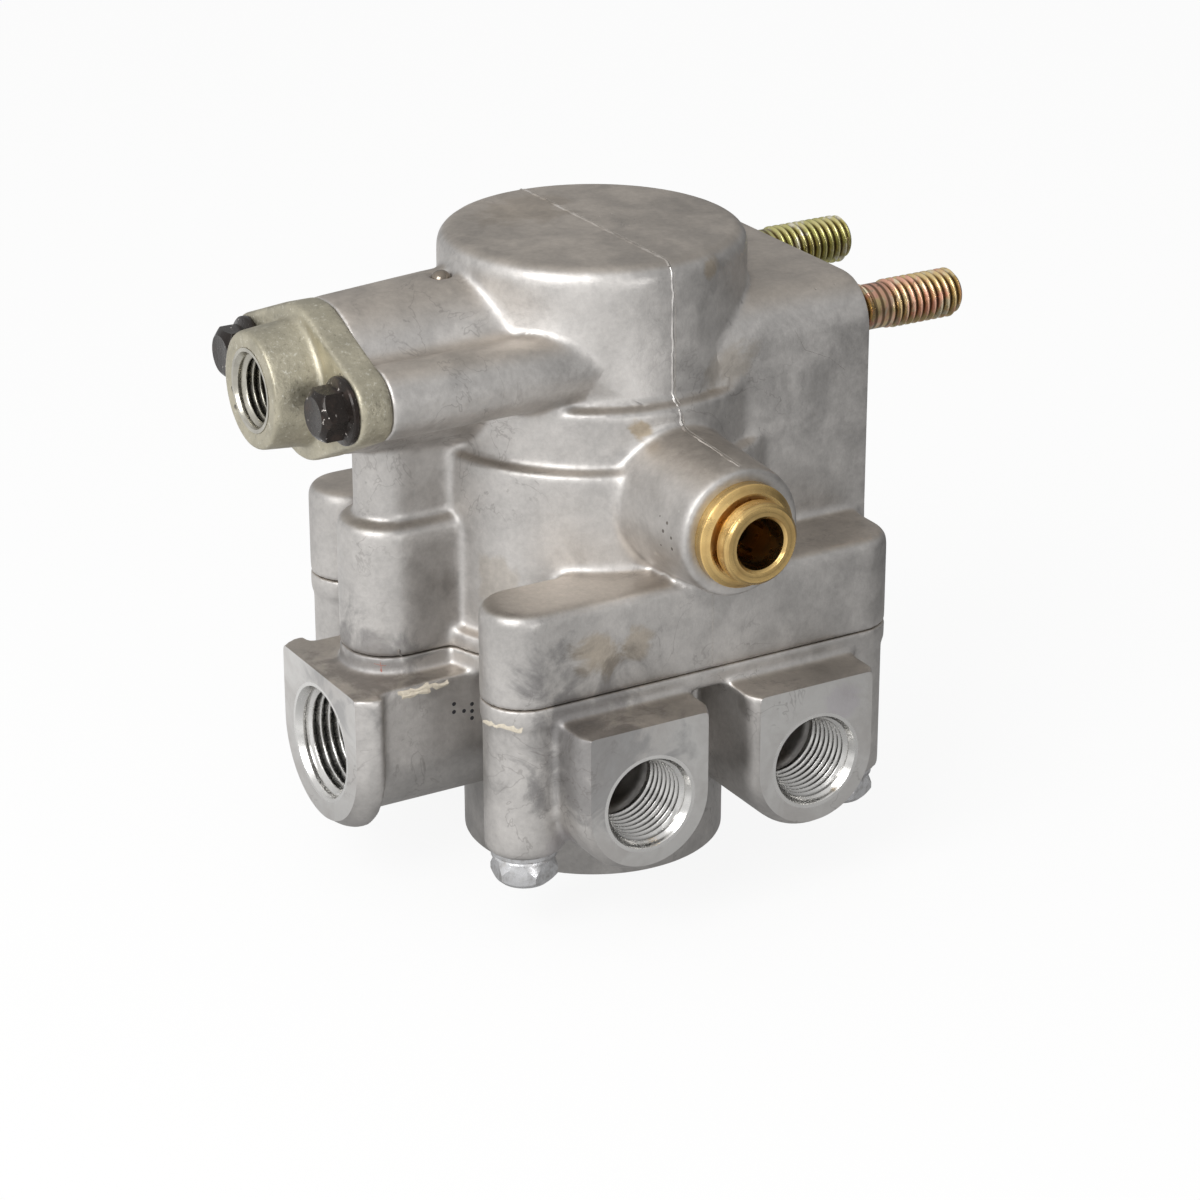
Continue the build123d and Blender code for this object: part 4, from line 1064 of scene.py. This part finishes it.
class VALVE_OT_inner_pieces(bpy.types.Operator):
    """Gives the fitting and the pieces inside their finishes"""

    bl_idname = "valve.inner_pieces"
    bl_label = "Fitting and inner pieces"

    def execute(self, context):
        colours = context.scene.valve_colours
        steel = cut_metal(
            "spring_steel", tuple(colours.steel), roughness=0.25, ring_pitch=0.4 * MM, grime=0.2)
        turned = cut_metal(
            "turned_aluminium", tuple(colours.machined), roughness=0.28, ring_pitch=0.4 * MM, grime=0.15)
        shaded_plug = cut_metal(
            "plug_steel_shaded", (0.34, 0.29, 0.24), roughness=0.18, ring_pitch=0.4 * MM, grime=0.4)
        by_slot = {
            "brass": brass_skin(colours),
            "rubber": rubber_skin(colours),
            "spring_steel": steel,
            "machined_aluminium": turned,
            "acetal": plastic_skin(colours),
        }
        for row in frame["record"]["subparts"]:
            material = by_slot.get(row["material_slot"])
            if material is None:
                continue
            # Painted shade: the passage plug is coloured dark, as if in the shade of its recess
            if row["node"] == "passage_plug":
                material = shaded_plug
            node = NODES[row["node"]]
            node.data.materials.clear()
            node.data.materials.append(material)
        for joint in frame["record"]["behaviour"]["joints"]:
            for row in joint.get("deforming_nodes", ()):
                pressed_spring(row, steel)
        return {"FINISHED"}


def pressed_spring(row, material):
    """Copy of a spring that takes the place of its CAD node."""
    letter = row["mode"][-1]
    axis = "xyz".index(letter)
    held = row[f"fixed_end_{letter}_m"]
    along, anchor = Vector(), Vector()
    along[axis] = 1.0
    anchor[axis] = held
    piece = new_piece(
        row["node"] + "_wound", NODES[row["node"]].data.copy(), material,
        replaces=[row["node"]])
    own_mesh(piece)


class VALVE_OT_marks(bpy.types.Operator):
    """Adds the parting line with a strip of painted shadow beside it, the ink dots and other small marks
    of casting
    """

    bl_idname = "valve.marks"
    bl_label = "Casting marks"

    def execute(self, context):
        random.seed(7)
        height = context.scene.valve_sizes.flash_height
        castings = surface_tree("upper_body_cast", "lower_body_cast")
        adapter = surface_tree("adapter_plated")
        skin = bpy.data.objects["upper_body_cast"].data.materials[0]
        ink = blotched("marking_ink", (0.008, 0.008, 0.01), (0.03, 0.03, 0.035), rough=0.45)
        finishes = {
            "skin": skin,
            "dirt": blotched("dirt", (0.05, 0.045, 0.04), (0.16, 0.14, 0.12), rough=0.6),
            "flash": blotched("flash", (0.40, 0.35, 0.28), (0.72, 0.66, 0.54), rough=0.35),
            "red": blotched("red_smear", (0.30, 0.10, 0.08), (0.42, 0.20, 0.16), rough=0.5),
        }
        shade = blotched("seam_shade", (0.16, 0.145, 0.13), (0.34, 0.32, 0.29), rough=0.5)
        seam = [traced(castings, starts, way) for starts, way in parting_rays()]
        ridges("parting_line", seam[:2] + seam[3:], 0.9 * MM, height, skin)
        # Painted shadow: a dark strip beside the parting line
        ridges("parting_shade", seam, 0.34 * MM, 0.05 * MM, shade, aside=0.62 * MM)
        for name, pixels, width, tall, finish in MARK_LINES:
            lines = [drawn(castings, line) for line in pixels]
            ridges(name, lines, width, tall, finishes[finish])
        discs("ink_dots", castings, INK_DOTS, 0.42 * MM, ink)
        discs("boss_pits", castings, BOSS_PITS, 0.30 * MM, finishes["dirt"])
        discs("adapter_chips", adapter, ADAPTER_CHIPS, 0.38 * MM, finishes["dirt"])
        return {"FINISHED"}


def parting_rays():
    """Rays that find the castings' parting line, in the plane X = 0: starts and a direction.

    They run down the front of the head, along the top of the fitting's boss, down the front under
    it, over the top of the head, and down the back."""
    low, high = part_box("upper_body")
    far = 0.3
    step = 0.9 * MM
    inset = 1 * MM
    boss_top = MOUNTS["balance_port"]["pos_m"][2] + 14 * MM
    boss_back = -31 * MM
    boss_foot = 65 * MM
    foot = 49.5 * MM
    head_half = 28 * MM

    def spread(first, last):
        count = int(abs(last - first) / step)
        return [first + (last - first) * i / count for i in range(count + 1)]

    def level(first, last, side):
        """Level rays towards the main axis, from one side."""
        return [(0.0, side * far, z) for z in spread(first, last)], (0, -side, 0)

    def down(first, last):
        return [(0.0, y, far) for y in spread(first, last)], (0, 0, -1)

    return (
        level(high.z - inset, boss_top, -1),
        down(low.y + inset, boss_back),
        level(boss_foot, foot, -1),
        down(-head_half, head_half),
        level(high.z - inset, foot, 1),
    )


def traced(tree, starts, way):
    """Places and normals where parallel rays meet a surface."""
    line = []
    for start in starts:
        place, normal, _, _ = tree.ray_cast(Vector(start), Vector(way))
        if place is not None:
            line.append((place, normal))
    return line


def drawn(tree, pixels):
    """Places and normals along a line drawn on the photograph, a few pixels apart."""
    pixel_step = 4
    line = []
    for first, last in zip(pixels, pixels[1:]):
        count = max(2, int(math.hypot(last[0] - first[0], last[1] - first[1]) / pixel_step))
        for i in range(count + 1):
            share = i / count
            if i or not line:
                line.append(seen([a + (b - a) * share for a, b in zip(first, last)], tree))
    return line


def ridges(name, lines, width, height, material, aside=0.0):
    """Low uneven ridges along lines of places and normals; a line breaks where it jumps.

    aside shifts them towards +X."""
    jump = 2.5 * MM
    sunk = 0.12 * MM
    points, faces = [], []
    for line in lines:
        runs, run = [], []
        for place, normal in line:
            if run and (place - run[-1][0]).length > jump:
                runs.append(run)
                run = []
            run.append((place, normal))
        runs.append(run)
        for run in runs:
            if len(run) < 2:
                continue
            first = len(points)
            for i, (place, normal) in enumerate(run):
                along = (run[min(i + 1, len(run) - 1)][0] - run[max(i - 1, 0)][0]).normalized()
                side = normal.cross(along).normalized()
                place = place + Vector((aside, 0, 0))
                half = 0.5 * width * random.uniform(0.6, 1.2)
                tall = height * random.uniform(0.5, 1.3)
                middle = place + side * 0.15 * width * random.uniform(-1, 1)
                deep = normal * sunk
                points += [middle - side * half - deep, middle + normal * tall,
                           middle + side * half - deep]
            for i in range(len(run) - 1):
                a = first + 3 * i
                faces += [
                    (a, a + 3, a + 4, a + 1), (a + 1, a + 4, a + 5, a + 2), (a + 2, a + 5, a + 3, a)]
            end = first + 3 * (len(run) - 1)
            faces += [(first, first + 1, first + 2), (end + 2, end + 1, end)]
    mesh = built(name, points, faces)
    smooth(mesh, 60)
    new_piece(name, mesh, material)


def discs(name, tree, pixels, radius, material):
    """Small flat marks on a surface, at pixels of the photograph; all but ink differ in size."""
    thickness = 0.04 * MM
    mesh = bpy.data.meshes.new(name)
    with edited(mesh) as bm:
        for pixel in pixels:
            place, normal = seen(pixel, tree)
            size = radius * (1.0 if name == "ink_dots" else random.uniform(0.5, 1.2))
            matrix = basis(normal, place + normal * thickness / 2)
            bmesh.ops.create_cone(
                bm, cap_ends=True, segments=14, radius1=size, radius2=0.8 * size, depth=thickness,
                matrix=matrix)
    new_piece(name, mesh, material)


class VALVE_OT_stage(bpy.types.Operator):
    """Sets the pale floor, the soft lights and the camera of the photograph"""

    bl_idname = "valve.stage"
    bl_label = "Stage"

    def execute(self, context):
        scene = context.scene
        settings = scene.valve_stage
        reach = 3.0
        corners = [(-reach, -reach, 0), (reach, -reach, 0), (reach, reach, 0), (-reach, reach, 0)]
        floor = linked("floor", built("floor", corners, [(0, 1, 2, 3)]))
        floor.data.materials.append(floor_skin(settings))
        middle = (cad_low + cad_high) / 2
        key_place, key_side = Vector((-0.65, -0.35, 0.62)), 0.5
        front_place, front_side = middle + Vector((0.0, -0.985, 0.155)), 0.16
        add_light("key_light", key_place, middle, key_side, settings.key_power)
        add_light("front_light", front_place, middle, front_side, settings.front_power)
        scene.world = bpy.data.worlds.new("studio")
        room_light(scene.world, settings)
        scene.view_settings.view_transform = "Standard"
        lens = bpy.data.cameras.new("camera")
        lens.sensor_width = SENSOR
        lens.lens = PHOTO_FOCAL / PHOTO_SIDE * SENSOR
        lens.shift_x = (PHOTO_SIDE / 2 - PHOTO_CENTRE[0]) / PHOTO_SIDE
        lens.shift_y = (PHOTO_CENTRE[1] - PHOTO_SIDE / 2) / PHOTO_SIDE
        lens.clip_start = 0.01
        camera = linked("camera", lens)
        turn = Matrix(camera_axes()).transposed().to_4x4()
        camera.matrix_world = Matrix.Translation(CAMERA_PLACE) @ turn
        scene.camera = camera
        return {"FINISHED"}


def floor_skin(settings):
    """Plain pale floor, lifted to white for the camera; in metal it shows as painted light, paler on the
    left, with a painted shadow near the valve.
    """
    g = Skin("floor")
    tint = tuple(settings.floor)
    g.surface(Base_Color=g.mix(g.noise(3.0, 2.0), tint, scaled(tint, 0.985)), Roughness=0.8)
    path = g.node("LightPath")
    camera, glossy = path.outputs["Is Camera Ray"], path.outputs["Is Glossy Ray"]
    # Painted light: for reflections the floor glows, brighter on the left
    across = g.span(g.parts(g.place)[0], -0.14, 0.20, settings.left, settings.right, smooth=False)
    # Painted shadow: the glow is dimmer near the middle, under the valve
    near = g.span(g.vector("LENGTH", g.place), 0.03, 0.13, 0.45, 1.0)
    plain = g.node("Emission", Strength=g.math("MAXIMUM", camera, g.times(across, near)))
    share = g.math("MAXIMUM", g.times(camera, 0.9), g.times(glossy, 0.95))
    g.show_either(share, g.shader, plain)
    return g.owner


def add_light(name, place, aim, side, power):
    """Square soft light that looks at the object."""
    lamp = bpy.data.lights.new(name, "AREA")
    lamp.size = side
    lamp.energy = power
    light = linked(name, lamp)
    light.location = place
    light.rotation_mode = "QUATERNION"
    light.rotation_quaternion = (aim - place).to_track_quat("-Z", "Y")


def room_light(world, settings):
    """Room that is brighter on the left and overhead; the camera sees it plain white."""
    g = Graph(world, "OutputWorld")
    slope = (0.5 * (settings.right - settings.left), 0.0, settings.overhead)
    rise = g.vector("DOT_PRODUCT", g.node("TexCoord").outputs["Generated"], slope)
    level = g.math("ADD", rise, 0.5 * (settings.left + settings.right))
    room = g.node("Background", Strength=level)
    plain = g.node("Background", Color=(1.0, 1.0, 1.0))
    g.show_either(g.node("LightPath").outputs["Is Camera Ray"], room, plain)


class VALVE_PT_panel(bpy.types.Panel):
    """Buttons that finish the valve piece by piece"""

    bl_label = "Modulating Valve"
    bl_idname = "VALVE_PT_panel"
    bl_space_type = "VIEW_3D"
    bl_region_type = "UI"
    bl_category = "Valve"

    def draw(self, context):
        layout = self.layout
        scene = context.scene
        for group in (scene.valve_sizes, scene.valve_colours, scene.valve_stage):
            box = layout.box()
            for name in group.bl_rna.properties.keys():
                if name not in ("rna_type", "name"):
                    box.prop(group, name)
        for operator in OPERATORS:
            layout.operator(operator.bl_idname)


OPERATORS = (
    VALVE_OT_stage,
    VALVE_OT_castings,
    VALVE_OT_port_threads,
    VALVE_OT_adapter,
    VALVE_OT_bolts,
    VALVE_OT_studs,
    VALVE_OT_inner_pieces,
    VALVE_OT_marks,
)
CLASSES = (ValveSizes, ValveColours, StageSettings, *OPERATORS, VALVE_PT_panel)


def register():
    for each in CLASSES:
        bpy.utils.register_class(each)
    bpy.types.Scene.valve_sizes = PointerProperty(type=ValveSizes)
    bpy.types.Scene.valve_colours = PointerProperty(type=ValveColours)
    bpy.types.Scene.valve_stage = PointerProperty(type=StageSettings)


def unregister():
    del bpy.types.Scene.valve_stage
    del bpy.types.Scene.valve_colours
    del bpy.types.Scene.valve_sizes
    for each in reversed(CLASSES):
        bpy.utils.unregister_class(each)


def main():
    """Make every piece in order."""
    register()
    bpy.ops.valve.stage()
    bpy.ops.valve.castings()
    bpy.ops.valve.port_threads()
    bpy.ops.valve.adapter()
    bpy.ops.valve.bolts()
    bpy.ops.valve.studs()
    bpy.ops.valve.inner_pieces()
    bpy.ops.valve.marks()


if __name__ == "__main__":
    main()
